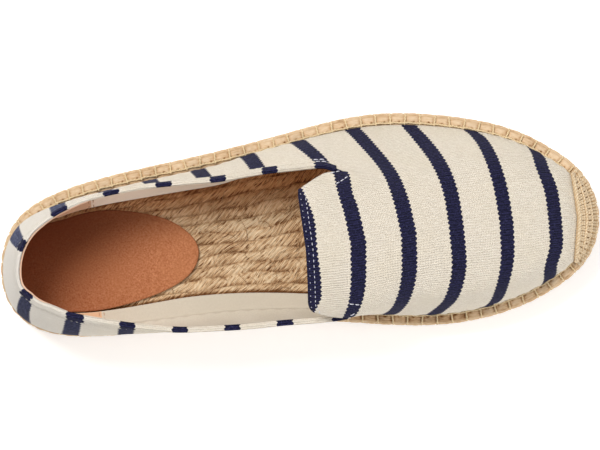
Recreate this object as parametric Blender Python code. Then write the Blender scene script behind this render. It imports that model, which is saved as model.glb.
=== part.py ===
# A left espadrille smoking slipper: a striped canvas upper on a braided rope sole.
# The shoe stands on its sole with +X towards the toe, +Y towards the outside of this left
# shoe and +Z up; the origin is the middle of its box, on the floor.  Tables and dimensions
# are in millimetres, with x counted from the back of the heel; the meshes are in metres.

import functools
import math
from collections import namedtuple

import bmesh
import bpy
import numpy as np

MM = 0.001

# ---------------------------------------------------------------- driving dimensions, in mm
SHOE_LENGTH = 255.0
GAP = 0.3                  # clearance where two pieces lie face to face

RUBBER_THICK = 2.4         # outsole sheet
RUBBER_INSET = 1.2         # its edge stands this far inside the rope
FOOTBED_HEEL = 22.0        # height of the rope's top under the heel
FOOTBED_BALL = 18.6        # and under the ball of the foot
WEDGE_START, WEDGE_END = 55.0, 130.0   # the footbed drops between these two
TOE_SPRING = 5.5           # the tip of the rubber is this far off the floor
SPRING_START = 188.0       # where the sole starts to lift
ROPE_TOE_THIN = 2.2        # the rope gets thinner by this much towards the tip
ROPE_COURSES = 3           # turns of rope stacked up the side of the sole
COURSE_GROOVE = 1.0        # depth of the groove between two turns

LEDGE = 4.6                # the rope stands out this far around the canvas
WALL = 1.3                 # canvas and its lining
HEM_TURN = 1.1             # how sharply the canvas turns in under the foot
BELLY_AT = 0.4             # share of the wall's height where the belly is measured

NOTCH_X = 148.0            # where the throat's two notches end
THROAT_X = 130.0           # back edge of the tab
TAB_CORNER = 0.33          # the tab's corners, as a share of the way from rim to ridge

BINDING_DEPTH = 3.6        # the collar tape reaches this far down each face
BINDING_THICK = 0.5
BINDING_GAP = 0.42
BINDING_END = 144.0        # it stops just behind the notches

SOCK_THICK = 1.3           # heel sock
SOCK_SIDE = 34.0           # behind this its edge follows the turned-in canvas
SOCK_CLEAR = 0.5           # between the sock and the turned-in canvas

GUARD_THICK = 0.9          # stitched toe guard
GUARD_GAP = 0.45
GUARD_BACK = 244.4         # its straight back edge
GUARD_SPREAD = (-43.0, 39.0)           # its two ends, in degrees round the toe's centre

HEEL_CENTRE, TOE_CENTRE = 30.0, 222.0  # the sections fan out round these two
FAN = 18                   # wedges in each fan
WALL_ROWS, TOP_ROWS = 8, 8

Outline = namedtuple("Outline", "place x y")
OUTLINE = (
    Outline("back of the heel", 0.0, -8.0),
    Outline("heel, inner corner", 2.3, -19.6),
    Outline("heel, inside", 9.0, -28.3),
    Outline("behind the waist, inside", 23.0, -34.8),
    Outline("heel, widest inside", 40.0, -36.9),
    Outline("waist, inside", 92.0, -36.3),
    Outline("behind the big toe joint", 137.0, -39.9),
    Outline("big toe joint", 186.0, -45.9),
    Outline("big toe", 224.0, -39.4),
    Outline("beside the big toe nail", 237.0, -33.6),
    Outline("big toe corner", 247.0, -27.0),
    Outline("tip of the toe", 255.0, -6.0),
    Outline("second toe corner", 248.2, 16.3),
    Outline("third toe corner", 239.4, 24.3),
    Outline("fourth toe", 228.0, 32.0),
    Outline("little toe", 196.0, 42.5),
    Outline("little toe joint", 162.0, 45.9),
    Outline("behind the little toe joint", 122.0, 40.7),
    Outline("waist, outside", 84.0, 34.9),
    Outline("heel, widest outside", 42.0, 29.1),
    Outline("behind the heel, outside", 24.0, 24.5),
    Outline("heel, outside", 10.0, 16.8),
)

# One row for each section of the last.  belly: how far the canvas stands outside its own base
# at BELLY_AT of its height; lean: how far its rim has come in over the base; margin: the
# width of canvas turned in under the foot.
Section = namedtuple(
    "Section",
    "x rim_z belly_outer lean_outer belly_inner lean_inner margin_outer margin_inner",
)
SECTIONS = (
    Section(4.6, 67.0, 1.9, 6.2, 1.9, 6.2, 5.0, 5.0),
    Section(9.0, 66.8, 1.5, 6.3, 2.3, 8.2, 5.0, 5.0),
    Section(18.0, 66.1, 1.0, 5.7, 2.9, 8.0, 5.0, 5.2),
    Section(30.0, 64.3, 0.9, 3.9, 3.4, 5.4, 5.2, 5.5),
    Section(42.0, 62.1, 0.8, 2.6, 3.8, 2.6, 6.8, 6.1),
    Section(60.0, 58.5, 0.6, 3.0, 4.0, -2.0, 8.3, 7.2),
    Section(80.0, 55.3, 0.4, 5.0, 4.0, -5.8, 9.2, 8.0),
    Section(100.0, 53.2, -0.4, 7.7, 3.5, -6.7, 9.6, 7.6),
    Section(120.0, 52.5, -1.2, 10.0, 3.0, -5.4, 8.4, 7.0),
    Section(130.0, 52.8, -2.0, 11.7, 2.5, -4.5, 7.6, 6.8),
    Section(140.0, 53.8, -3.6, 13.6, 2.0, -3.0, 7.2, 7.0),
    Section(148.0, 55.0, -6.0, 17.6, 1.0, -0.8, 7.5, 7.5),
    Section(170.0, 47.0, -8.0, 20.5, -0.5, 5.2, 8.0, 8.0),
    Section(190.0, 43.0, -5.5, 16.0, -1.0, 6.6, 8.0, 8.0),
    Section(213.0, 39.5, -2.6, 11.0, -1.2, 7.2, 7.5, 7.5),
    Section(235.0, 34.5, -0.6, 6.6, -0.6, 6.2, 7.0, 7.0),
    Section(250.4, 31.0, 0.2, 4.2, 0.2, 4.2, 7.0, 7.0),
)

# The line along the top of the foot, and the middle of the foot behind the throat.
Ridge = namedtuple("Ridge", "x y z")
RIDGE = (
    Ridge(30.0, -6.0, 90.0),
    Ridge(80.0, -6.5, 88.0),
    Ridge(112.0, -8.2, 82.6),
    Ridge(130.0, -8.5, 78.0),
    Ridge(148.0, -8.0, 72.3),
    Ridge(170.0, -6.5, 64.0),
    Ridge(190.0, -5.5, 56.0),
    Ridge(222.0, -5.5, 43.5),
)


# ---------------------------------------------------------------- curves through the tables
def through(table, name, x):
    # monotone cubic through one named column of a table, read at x
    xs = np.array([row.x for row in table])
    ys = np.array([getattr(row, name) for row in table])
    step = np.diff(xs)
    slope = np.diff(ys) / step
    same = slope[:-1] * slope[1:] > 0
    wide, narrow = 2 * step[1:] + step[:-1], step[1:] + 2 * step[:-1]
    first, second = np.where(same, slope[:-1], 1.0), np.where(same, slope[1:], 1.0)
    middle = np.where(same, (wide + narrow) / (wide / first + narrow / second), 0.0)
    bend = np.concatenate([slope[:1], middle, slope[-1:]])
    x = np.clip(x, xs[0], xs[-1])
    i = np.clip(np.searchsorted(xs, x) - 1, 0, len(step) - 1)
    t = (x - xs[i]) / step[i]
    left = ys[i] * (1 + 2 * t) + bend[i] * step[i] * t
    right = ys[i + 1] * (3 - 2 * t) + bend[i + 1] * step[i] * (t - 1)
    return left * (1 - t) ** 2 + right * t**2


def section(name, x):
    return through(SECTIONS, name, x)


def ridge(name, x):
    return through(RIDGE, name, x)


def closed_spline(points, each):
    # a closed cubic spline through the points, with `each` steps from one to the next
    points = np.asarray(points, float)
    n = len(points)
    following = np.roll(points, -1, 0)
    chord = np.linalg.norm(following - points, axis=1)
    matrix, right = np.zeros((n, n)), np.zeros((n, 2))
    for i in range(n):
        before = chord[i - 1]
        matrix[i, i - 1], matrix[i, i] = before, 2 * (before + chord[i])
        matrix[i, (i + 1) % n] = chord[i]
        rise, fall = following[i] - points[i], points[i] - points[i - 1]
        right[i] = 6 * (rise / chord[i] - fall / before)
    curve = np.linalg.solve(matrix, right)
    out = []
    for i in range(n):
        for t in np.linspace(0, 1, each, endpoint=False):
            pull = ((1 - t) ** 3 - (1 - t)) * curve[i] + (t**3 - t) * curve[(i + 1) % n]
            out.append((1 - t) * points[i] + t * following[i] + pull * chord[i] ** 2 / 6)
    return np.array(out)


EDGE = closed_spline([(p.x, p.y) for p in OUTLINE], 100)


def inset(loop, distance):
    # a closed counter-clockwise loop moved inwards
    along = np.roll(loop, -1, 0) - np.roll(loop, 1, 0)
    along /= np.linalg.norm(along, axis=1)[:, None]
    return loop + np.stack([-along[:, 1], along[:, 0]], 1) * distance


# ---------------------------------------------------------------- heights along the sole
def spring(x):
    # how far the underside has lifted off the floor
    past = (np.asarray(x, float) - SPRING_START) / (SHOE_LENGTH - SPRING_START)
    return TOE_SPRING * np.clip(past, 0, 1) ** 2


def footbed(x):
    # height of the rope's top face
    down = np.clip((np.asarray(x, float) - WEDGE_START) / (WEDGE_END - WEDGE_START), 0, 1)
    drop = (FOOTBED_HEEL - FOOTBED_BALL) * down * down * (3 - 2 * down)
    return FOOTBED_HEEL - drop + spring(x) * (1 - ROPE_TOE_THIN / TOE_SPRING)


# ---------------------------------------------------------------- columns round the shoe
# s runs once round the shoe: 0 to 1 fans round the heel, 1 to 2 goes forward along the
# inner side, 2 to 3 fans round the toe and 3 to 4 comes back along the outer side.
Stand = namedtuple("Stand", "foot_x foot_y way_x way_y outer")


def stand(s):
    # where each column's plane stands, which way it looks, and whether it is on the outside
    s = np.mod(np.asarray(s, float), 4.0)
    heel, inner, toe = s < 1, (s >= 1) & (s < 2), (s >= 2) & (s < 3)
    span = TOE_CENTRE - HEEL_CENTRE
    foot_x = np.where(inner, HEEL_CENTRE + (s - 1) * span, TOE_CENTRE - (s - 3) * span)
    foot_x = np.where(heel, HEEL_CENTRE, np.where(toe, TOE_CENTRE, foot_x))
    turn = np.where(heel, 90 + 180 * s, np.where(inner, -90, 90))
    turn = np.radians(np.where(toe, -90 + 180 * (s - 2), turn))
    outer = (s < 0.5) | (s >= 2.5)
    return Stand(foot_x, ridge("y", foot_x), np.cos(turn), np.sin(turn), outer)


@functools.lru_cache(None)
def polar(distance, centre_x):
    # angle and radius of the inset outline round one of the fans' centres
    loop = inset(EDGE, distance)
    rel = loop - np.array([centre_x, ridge("y", centre_x)])
    angle = np.arctan2(rel[:, 1], rel[:, 0])
    if centre_x == HEEL_CENTRE:
        angle = np.mod(angle, 2 * np.pi)
    order = np.argsort(angle)
    return angle[order], np.linalg.norm(rel, axis=1)[order]


@functools.lru_cache(None)
def sides(distance):
    # the inset outline as y over x, for the outer and the inner side
    loop = inset(EDGE, distance)
    loop = np.roll(loop, -int(loop[:, 0].argmin()), 0)
    tip = int(loop[:, 0].argmax())
    return loop[tip:][::-1], loop[: tip + 1]


def reach(s, distance):
    # how far a column's foot is from the inset outline
    at = stand(s)
    turn = np.arctan2(at.way_y, at.way_x)
    around_heel = np.interp(np.mod(turn, 2 * np.pi), *polar(distance, HEEL_CENTRE))
    around_toe = np.interp(turn, *polar(distance, TOE_CENTRE))
    outer, inner = sides(distance)
    across = np.where(
        at.outer,
        np.interp(at.foot_x, outer[:, 0], outer[:, 1]) - at.foot_y,
        at.foot_y - np.interp(at.foot_x, inner[:, 0], inner[:, 1]),
    )
    s = np.mod(s, 4.0)
    return np.where(s < 1, around_heel, np.where((s >= 2) & (s < 3), around_toe, across))


def point(s, radius, z):
    at = stand(s)
    return np.stack([at.foot_x + radius * at.way_x, at.foot_y + radius * at.way_y, z], -1)


# ---------------------------------------------------------------- the skin of the last
def wall_section(s):
    # base radius, section x, height of base and rim, and the wall's two curve factors
    at, base = stand(s), reach(s, LEDGE)
    x = at.foot_x + base * at.way_x
    belly = np.where(at.outer, section("belly_outer", x), section("belly_inner", x))
    lean = np.where(at.outer, section("lean_outer", x), section("lean_inner", x))
    square = -(belly + BELLY_AT * lean) / (BELLY_AT * (1 - BELLY_AT))
    return base, x, footbed(x) + GAP, section("rim_z", x), -lean - square, square


def skin(s, level):
    # the canvas's outer face: level 0 to 1 climbs from the base to the rim, and 1 to 2 goes
    # on over the shoulder to the ridge
    s, level = np.broadcast_arrays(np.asarray(s, float), np.asarray(level, float))
    base, x, bottom, rim, straight, square = wall_section(s)
    wall_r = base + straight * level + square * level**2
    wall_z = bottom + level * (rim - bottom)

    run, rise = straight + 2 * square, rim - bottom
    steep = np.hypot(run, rise)
    at = stand(s)
    start_r = base + straight + square
    top = ridge("z", at.foot_x)
    fall = (ridge("z", at.foot_x + 0.5) - ridge("z", at.foot_x - 0.5)) * at.way_x
    pull = np.hypot(start_r, top - rim)
    t = level - 1
    stay, leave = (1 + 2 * t) * (1 - t) ** 2, t * (1 - t) ** 2
    come, arrive = t * t * (3 - 2 * t), t * t * (t - 1)
    over_r = start_r * stay + run / steep * pull * leave - pull * arrive
    over_z = rim * stay + rise / steep * pull * leave + top * come - fall * pull * arrive
    return point(s, np.where(level <= 1, wall_r, over_r), np.where(level <= 1, wall_z, over_z))


def outward(s, level):
    # unit normal of the skin
    step = 1e-3
    around = skin(s + step, level) - skin(s - step, level)
    up = skin(s, level + step) - skin(s, level - step)
    normal = np.cross(around, up)
    size = np.linalg.norm(normal, axis=-1, keepdims=True)
    slope = (ridge("z", TOE_CENTRE) - ridge("z", TOE_CENTRE - 1.0))
    crown = np.array([-slope, 0.0, 1.0]) / math.hypot(slope, 1.0)
    return np.where(size > 1e-7, normal / np.maximum(size, 1e-12), crown)


def lifted(s, level, distance):
    # the skin moved along its own normal
    s, level = np.broadcast_arrays(np.asarray(s, float), np.asarray(level, float))
    return skin(s, level) + outward(s, level) * distance


def tab_level(x):
    # the level of the tab's edge, from its corner to the notch
    return 1 + TAB_CORNER * np.clip((NOTCH_X - x) / (NOTCH_X - THROAT_X), 0, 1)


def ring():
    # s of every column, with one on each side at the throat and at the notch
    forward = np.concatenate([
        np.linspace(HEEL_CENTRE, THROAT_X, 12, endpoint=False),
        np.linspace(THROAT_X, NOTCH_X, 4, endpoint=False),
        np.linspace(NOTCH_X, TOE_CENTRE, 9, endpoint=False),
    ])
    inner = 1 + (forward - HEEL_CENTRE) / (TOE_CENTRE - HEEL_CENTRE)
    outer = 4 - (inner - 1)
    fan = np.arange(FAN) / FAN
    return np.concatenate([fan, inner, 2 + fan, [3.0], outer[:0:-1]])


RING = ring()


# ---------------------------------------------------------------- making objects
def material(name, colour, roughness):
    made = bpy.data.materials.new(name)
    made.use_nodes = True
    shader = made.node_tree.nodes["Principled BSDF"]
    shader.inputs["Base Color"].default_value = (*colour, 1.0)
    shader.inputs["Roughness"].default_value = roughness
    made.diffuse_color = (*colour, 1.0)
    return made


def finish(name, mesh, look, sharp):
    # the shoe's tables count x from the heel, so the whole of it is centred here
    bmesh.ops.recalc_face_normals(mesh, faces=mesh.faces)
    for vert in mesh.verts:
        vert.co.x = (vert.co.x - SHOE_LENGTH / 2) * MM
        vert.co.y, vert.co.z = vert.co.y * MM, vert.co.z * MM
    data = bpy.data.meshes.new(name)
    mesh.to_mesh(data)
    mesh.free()
    data.materials.append(look)
    made = bpy.data.objects.new(name, data)
    bpy.context.scene.collection.objects.link(made)
    data.shade_smooth()
    data.set_sharp_from_angle(angle=math.radians(sharp))
    return made


def thick_sheet(name, faces, front, back, look, sharp=50):
    # a closed solid between two matching sheets
    used = sorted({i for face in faces for i in face})
    mesh = bmesh.new()
    fore = {i: mesh.verts.new(front[i]) for i in used}
    rear = {i: mesh.verts.new(back[i]) for i in used}
    edges = {}
    for face in faces:
        mesh.faces.new([fore[i] for i in face])
        mesh.faces.new([rear[i] for i in reversed(face)])
        for a, b in zip(face, face[1:] + face[:1]):
            edges[(a, b)] = True
    for a, b in edges:
        if (b, a) not in edges:
            mesh.faces.new([fore[b], fore[a], rear[a], rear[b]])
    return finish(name, mesh, look, sharp)


def stacked(name, loops, low, high, look, sharp=50):
    # a solid of matching loops, closed at both ends by faces that meet on the middle line
    mesh = bmesh.new()
    rows = [[mesh.verts.new(p) for p in loop] for loop in loops]
    n = len(rows[0])
    for upper, lower in zip(rows[1:], rows):
        for i in range(n):
            j = (i + 1) % n
            mesh.faces.new([lower[i], lower[j], upper[j], upper[i]])
    at = stand(RING)
    for row, height in ((rows[0], low), (rows[-1], high)):
        middle = {}
        for i in range(n):
            key = round(float(at.foot_x[i]), 3)
            if key not in middle:
                spot = (at.foot_x[i], at.foot_y[i], float(height(at.foot_x[i])))
                middle[key] = mesh.verts.new(spot)
        for i in range(n):
            j = (i + 1) % n
            a = middle[round(float(at.foot_x[i]), 3)]
            b = middle[round(float(at.foot_x[j]), 3)]
            mesh.faces.new([row[i], row[j], a] if a is b else [row[i], row[j], b, a])
    return finish(name, mesh, look, sharp)


for old in list(bpy.data.objects):
    bpy.data.objects.remove(old)


# ---------------------------------------------------------------- the rubber outsole
def rubber_loop(distance, share):
    r = reach(RING, distance)
    x = stand(RING).foot_x + r * stand(RING).way_x
    return point(RING, r, spring(x) + share * RUBBER_THICK)


stacked(
    "outsole",
    [
        rubber_loop(RUBBER_INSET + 0.7, 0.0),
        rubber_loop(RUBBER_INSET, 0.3),
        rubber_loop(RUBBER_INSET, 1.0),
    ],
    spring,
    lambda x: spring(x) + RUBBER_THICK,
    material("rubber", (0.36, 0.26, 0.17), 0.75),
)


# ---------------------------------------------------------------- the rope sole
def rope_loop(distance, share):
    r = reach(RING, distance)
    x = stand(RING).foot_x + r * stand(RING).way_x
    low = spring(x) + RUBBER_THICK + GAP
    return point(RING, r, low + share * (footbed(x) - low))


COURSE_SHAPE = ((0.0, 1.0), (0.22, 0.22), (0.5, 0.0), (0.78, 0.22))   # share up, share of groove

rope_loops = []
for course in range(ROPE_COURSES):
    for share, depth in COURSE_SHAPE:
        rope_loops.append(rope_loop(COURSE_GROOVE * depth, (course + share) / ROPE_COURSES))
rope_loops.append(rope_loop(COURSE_GROOVE * 1.3, 1.0))
rope_loops.append(rope_loop(LEDGE + 7.5, 1.0))
stacked(
    "rope_sole",
    rope_loops,
    lambda x: spring(x) + RUBBER_THICK + GAP,
    footbed,
    material("jute rope", (0.60, 0.44, 0.26), 0.9),
    sharp=70,
)


# ---------------------------------------------------------------- the canvas upper
def hem_point(s, inwards, height):
    # a point of the canvas turned in under the foot
    r = reach(s, LEDGE) - inwards
    at = stand(s)
    return point(s, r, footbed(at.foot_x + r * at.way_x) + GAP + height)


def turned_in(outer, x):
    return np.where(outer, section("margin_outer", x), section("margin_inner", x))


def canvas():
    at = stand(RING)
    base, x, bottom, rim, _, _ = wall_section(RING)
    margin = turned_in(at.outer, x)
    front = [hem_point(RING, margin, 0.0), hem_point(RING, HEM_TURN, 0.0)]
    back = [hem_point(RING, margin, WALL), hem_point(RING, WALL + 0.8, WALL)]
    first, within = HEM_TURN / (rim - bottom), (WALL + 0.8) / (rim - bottom)
    for row in np.linspace(0, 1, WALL_ROWS):
        front.append(skin(RING, first + (1 - first) * row))
        back.append(lifted(RING, within + (1 - within) * row, -WALL))

    n, rows = len(RING), len(front)
    fore = [p for loop in front for p in loop]
    rear = [p for loop in back for p in loop]
    faces = []
    for row in range(rows - 1):
        for i in range(n):
            j = (i + 1) % n
            a, b = row * n, (row + 1) * n
            faces.append([a + i, a + j, b + j, b + i])

    # the top, from the tab and the notches to the toe
    ahead = [i for i in range(n) if at.foot_x[i] >= THROAT_X - 0.01]
    names, shared = {}, {}
    for i in ahead:
        edge = float(tab_level(at.foot_x[i]))
        for step in range(TOP_ROWS + 1):
            if step == 0 and at.foot_x[i] >= NOTCH_X - 0.01:
                names[i, step] = (rows - 1) * n + i
                continue
            key = round(float(at.foot_x[i]), 3)
            if step == TOP_ROWS and key in shared:
                names[i, step] = shared[key]
                continue
            level = edge + (2 - edge) * step / TOP_ROWS
            names[i, step] = len(fore)
            fore.append(skin(RING[i], level))
            rear.append(lifted(RING[i], level, -WALL))
            if step == TOP_ROWS:
                shared[key] = names[i, step]
    for i, j in zip(ahead, ahead[1:]):
        for step in range(TOP_ROWS):
            face = [names[i, step], names[j, step], names[j, step + 1], names[i, step + 1]]
            faces.append([v for k, v in enumerate(face) if v != face[k - 1]])
    return faces, fore, rear


thick_sheet("upper", *canvas(), material("canvas", (0.80, 0.78, 0.72), 0.85), sharp=55)


# ---------------------------------------------------------------- the collar binding
def binding():
    # a tape folded over the rim, from one notch round the heel to the other
    behind = RING[stand(RING).foot_x <= BINDING_END]
    s = np.concatenate([behind[behind > 3], behind[behind < 3]])
    base, x, bottom, rim, _, _ = wall_section(s)
    deep, gap = 1 - BINDING_DEPTH / (rim - bottom), BINDING_GAP
    over = skin(s, 1.0) - skin(s, 0.98)
    over /= np.linalg.norm(over, axis=1)[:, None]
    out, thick = outward(s, 1.0), BINDING_THICK
    near, far = [], []
    for share in (0.0, 0.5, 1.0):
        level = deep + (1 - deep) * share
        near.append(lifted(s, level, gap))
        far.append(lifted(s, level, gap + thick))
    rim_line = skin(s, 1.0)
    far[-1] = rim_line + out * (gap + thick)
    near.append(rim_line + out * gap * 0.8 + over * gap)
    far.append(rim_line + out * (gap * 0.4) + over * (gap + thick))
    near.append(rim_line - out * (WALL + gap * 0.8) + over * gap)
    far.append(rim_line - out * (WALL + gap * 0.4) + over * (gap + thick))
    for share in (1.0, 0.5, 0.0):
        level = deep + (1 - deep) * share
        near.append(lifted(s, level, -WALL - gap))
        far.append(lifted(s, level, -WALL - gap - thick))
    n, rows = len(s), len(near)
    faces = []
    for row in range(rows - 1):
        for i in range(n - 1):
            a, b = row * n, (row + 1) * n
            faces.append([a + i, a + i + 1, b + i + 1, b + i])
    return faces, [p for loop in far for p in loop], [p for loop in near for p in loop]


thick_sheet("collar_binding", *binding(), material("tape", (0.74, 0.73, 0.68), 0.8), sharp=75)


# ---------------------------------------------------------------- the toe guard
def level_at(s, x):
    # the level at which a toe column's skin is at x
    low, high = np.zeros_like(s), np.full_like(s, 1.9)
    for _ in range(30):
        middle = (low + high) / 2
        ahead = skin(s, middle)[:, 0] > x
        low, high = np.where(ahead, middle, low), np.where(ahead, high, middle)
    return low


def guard():
    # threads sewn over the toe: down the canvas and out across the ledge of the rope
    s = 2.5 + np.linspace(*GUARD_SPREAD, 17) / 180
    base, x, bottom, rim, _, _ = wall_section(s)
    low = 2.6 / (rim - bottom)
    back = np.maximum(level_at(s, GUARD_BACK), low + 0.1)
    near, far = [], []
    for share in np.linspace(0, 1, 5):
        level = back + (low - back) * share
        near.append(lifted(s, level, GUARD_GAP))
        far.append(lifted(s, level, GUARD_GAP + GUARD_THICK))
    near.append(hem_point(s, -GUARD_GAP - 0.3, 0.0))
    far.append(hem_point(s, -GUARD_GAP - GUARD_THICK - 0.8, GUARD_THICK + 0.2))
    near.append(hem_point(s, 1.4 - LEDGE, 0.0))
    far.append(hem_point(s, 1.4 - LEDGE, GUARD_THICK))
    n, rows = len(s), len(near)
    faces = []
    for row in range(rows - 1):
        for i in range(n - 1):
            a, b = row * n, (row + 1) * n
            faces.append([a + i, a + i + 1, b + i + 1, b + i])
    return faces, [p for loop in far for p in loop], [p for loop in near for p in loop]


thick_sheet("toe_guard", *guard(), material("jute thread", (0.70, 0.56, 0.36), 0.85), sharp=60)


# ---------------------------------------------------------------- the heel sock
# the front of the sock, from its outer side round to its inner one
SockPoint = namedtuple("SockPoint", "x y")
SOCK_FRONT = (
    SockPoint(50.0, 15.9), SockPoint(60.5, 13.9), SockPoint(70.7, 10.6), SockPoint(79.4, 4.9),
    SockPoint(84.6, -4.0), SockPoint(81.8, -12.2), SockPoint(73.2, -18.4),
    SockPoint(61.5, -22.4), SockPoint(47.0, -25.2),
)


def sock_outline():
    # round the heel it keeps clear of the turned-in canvas
    side = (SOCK_SIDE - HEEL_CENTRE) / (TOE_CENTRE - HEEL_CENTRE)
    s = np.concatenate([[4 - side], np.linspace(0, 1, 9), [1 + side]])
    x = wall_section(s)[1]
    edge = hem_point(s, turned_in(stand(s).outer, x) + SOCK_CLEAR, 0.0)[:, :2]
    return closed_spline([*edge, *((p.x, p.y) for p in SOCK_FRONT[::-1])], 8)


def across(loop, stations):
    # both sides of a loop at each station, and its two tips
    loop = np.roll(loop, -int(loop[:, 0].argmin()), 0)
    tip = int(loop[:, 0].argmax())
    inner, outer = loop[: tip + 1], np.concatenate([loop[tip:], loop[:1]])[::-1]
    xs = loop[0, 0] + (loop[tip, 0] - loop[0, 0]) * stations
    rows = [(x, np.interp(x, *outer.T), np.interp(x, *inner.T)) for x in xs[1:-1]]
    return [(xs[0], loop[0, 1])] + rows + [(xs[-1], loop[tip, 1])]


def slab(mesh, layers):
    # layers of the same stations, joined round the edge and closed across at both ends
    rings, grids = [], []
    for rows, up in layers:
        grid = []
        for x, *ys in rows:
            z = float(footbed(x)) + GAP + up
            grid.append([mesh.verts.new((x, y, z)) for y in ys])
        grids.append(grid)
        rings.append([g[-1] for g in grid] + [g[0] for g in grid[-2:0:-1]])
    for lower, upper in zip(rings, rings[1:]):
        for i in range(len(lower)):
            j = (i + 1) % len(lower)
            mesh.faces.new([lower[i], lower[j], upper[j], upper[i]])
    for grid in (grids[0], grids[-1]):
        for a, b in zip(grid, grid[1:]):
            mesh.faces.new([*a, *b[::-1]])


def sock():
    mesh = bmesh.new()
    outline = sock_outline()
    stations = (1 - np.cos(np.linspace(0, np.pi, 25))) / 2
    wide, narrow = across(outline, stations), across(inset(outline, 0.5), stations)
    slab(mesh, [(wide, 0.0), (wide, SOCK_THICK - 0.4), (narrow, SOCK_THICK)])
    return mesh


finish("heel_sock", sock(), material("suede", (0.42, 0.25, 0.14), 0.9), 40)
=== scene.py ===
import functools
import math
from collections import namedtuple

import bmesh
import bpy
import numpy as np
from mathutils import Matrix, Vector


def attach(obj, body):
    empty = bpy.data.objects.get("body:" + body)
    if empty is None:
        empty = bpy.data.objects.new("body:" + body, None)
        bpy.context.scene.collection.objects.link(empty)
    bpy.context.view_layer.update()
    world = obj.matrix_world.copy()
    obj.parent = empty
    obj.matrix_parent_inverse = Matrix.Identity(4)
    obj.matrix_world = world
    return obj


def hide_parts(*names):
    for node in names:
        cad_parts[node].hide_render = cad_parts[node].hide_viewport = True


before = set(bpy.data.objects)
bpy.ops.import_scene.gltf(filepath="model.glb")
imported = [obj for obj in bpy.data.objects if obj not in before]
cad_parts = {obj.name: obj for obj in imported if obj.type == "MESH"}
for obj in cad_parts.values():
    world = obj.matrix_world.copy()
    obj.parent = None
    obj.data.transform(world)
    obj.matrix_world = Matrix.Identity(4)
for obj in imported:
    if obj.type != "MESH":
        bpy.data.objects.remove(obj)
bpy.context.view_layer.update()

# the last and the sole, in millimetres, with x counted from the back of the heel
shoe = {
    "length": 255.0,
    "gap": 0.3,            # between pieces that lie face to face
    "rubber": 2.4,         # outsole sheet
    "footbedHeel": 22.0,   # height of the rope's top under the heel
    "footbedBall": 18.6,   # and under the ball of the foot
    "wedge": (55.0, 130.0),        # where it drops from one to the other
    "toeSpring": 5.5,      # the underside's lift at the tip of the toe
    "springStart": 188.0,
    "toeThin": 2.2,        # the rope is this much thinner at the tip
    "ledge": 4.6,          # the rope stands out this far around the canvas
    "shelf": 1.3,          # and this much more beside the heel, on the outer side
    "hemTurn": 1.1,        # radius of the canvas's turn at the footbed
    "heelTrim": 2.7,       # the turned-in margin is trimmed this much under the heel
    "bellyAt": 0.4,        # share of the wall's height where it swells
    "notch": 148.0,
    "throat": 130.0,       # the tab's edge
    "tabCorner": 0.33,     # levels from the rim to the tab's corner
    "heelCentre": 30.0,    # the columns fan round these two
    "toeCentre": 222.0,
}

outline = (                # corners of the sole, counter-clockwise from the back of the heel
    (0.0, -8.0), (2.3, -19.6), (9.0, -28.3), (23.0, -34.8), (40.0, -36.9), (92.0, -36.3),
    (137.0, -39.9), (186.0, -45.9), (224.0, -39.4), (237.0, -33.2), (246.4, -26.2),
    (255.0, -6.0), (247.4, 15.6), (238.8, 23.4), (227.6, 31.0), (196.0, 42.0), (162.0, 45.9),
    (122.0, 40.7), (84.0, 34.9), (42.0, 29.1), (24.0, 24.5), (10.0, 16.8),
)

# height of the rim, how far each wall swells and leans in, and the margin turned in under it
Section = namedtuple(
    "Section", "x rim bellyOuter leanOuter bellyInner leanInner marginOuter marginInner"
)
sections = (
    Section(4.6, 67.0, 1.9, 6.2, 1.9, 6.2, 5.0, 5.0),
    Section(9.0, 66.8, 1.5, 6.3, 2.3, 8.2, 5.0, 5.0),
    Section(18.0, 66.1, 0.7, 5.2, 2.9, 8.0, 5.0, 5.2),
    Section(30.0, 64.3, 0.2, 2.9, 3.4, 5.4, 4.6, 5.5),
    Section(42.0, 62.1, 0.0, 1.5, 3.8, 2.6, 5.2, 6.1),
    Section(60.0, 58.5, -0.2, 2.0, 4.0, -2.0, 6.4, 7.2),
    Section(80.0, 55.3, -0.4, 4.0, 4.0, -5.8, 7.4, 8.0),
    Section(100.0, 53.2, -0.7, 7.0, 3.5, -6.7, 8.4, 7.6),
    Section(120.0, 52.5, -1.2, 10.0, 3.0, -5.4, 8.4, 7.0),
    Section(130.0, 52.8, -2.0, 11.7, 2.5, -4.5, 7.6, 6.8),
    Section(140.0, 53.8, -3.6, 13.6, 2.0, -3.0, 7.2, 7.0),
    Section(148.0, 55.0, -6.0, 17.6, 1.0, -0.8, 7.5, 7.5),
    Section(170.0, 47.0, -8.0, 20.5, -0.5, 5.2, 8.0, 8.0),
    Section(190.0, 43.0, -5.5, 16.0, -1.0, 6.6, 8.0, 8.0),
    Section(213.0, 39.5, -2.6, 11.0, -1.2, 7.2, 7.5, 7.5),
    Section(235.0, 34.5, -0.6, 6.6, -0.6, 6.2, 7.0, 7.0),
    Section(250.4, 31.0, 0.2, 4.2, 0.2, 4.2, 7.0, 7.0),
)

Ridge = namedtuple("Ridge", "x y z")       # the instep's middle line
ridges = (
    Ridge(30.0, -6.0, 90.0), Ridge(80.0, -6.5, 88.0), Ridge(112.0, -8.2, 82.6),
    Ridge(130.0, -8.5, 78.0), Ridge(148.0, -8.0, 72.3), Ridge(170.0, -6.5, 64.0),
    Ridge(190.0, -5.5, 56.0), Ridge(222.0, -5.5, 43.5),
)


# curves of the last
def smoothStep(low, high, value):
    t = np.clip((value - low) / (high - low), 0, 1)
    return t * t * (3 - 2 * t)


def bell(distance, width):
    return np.exp(-((distance / width) ** 2))


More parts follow.
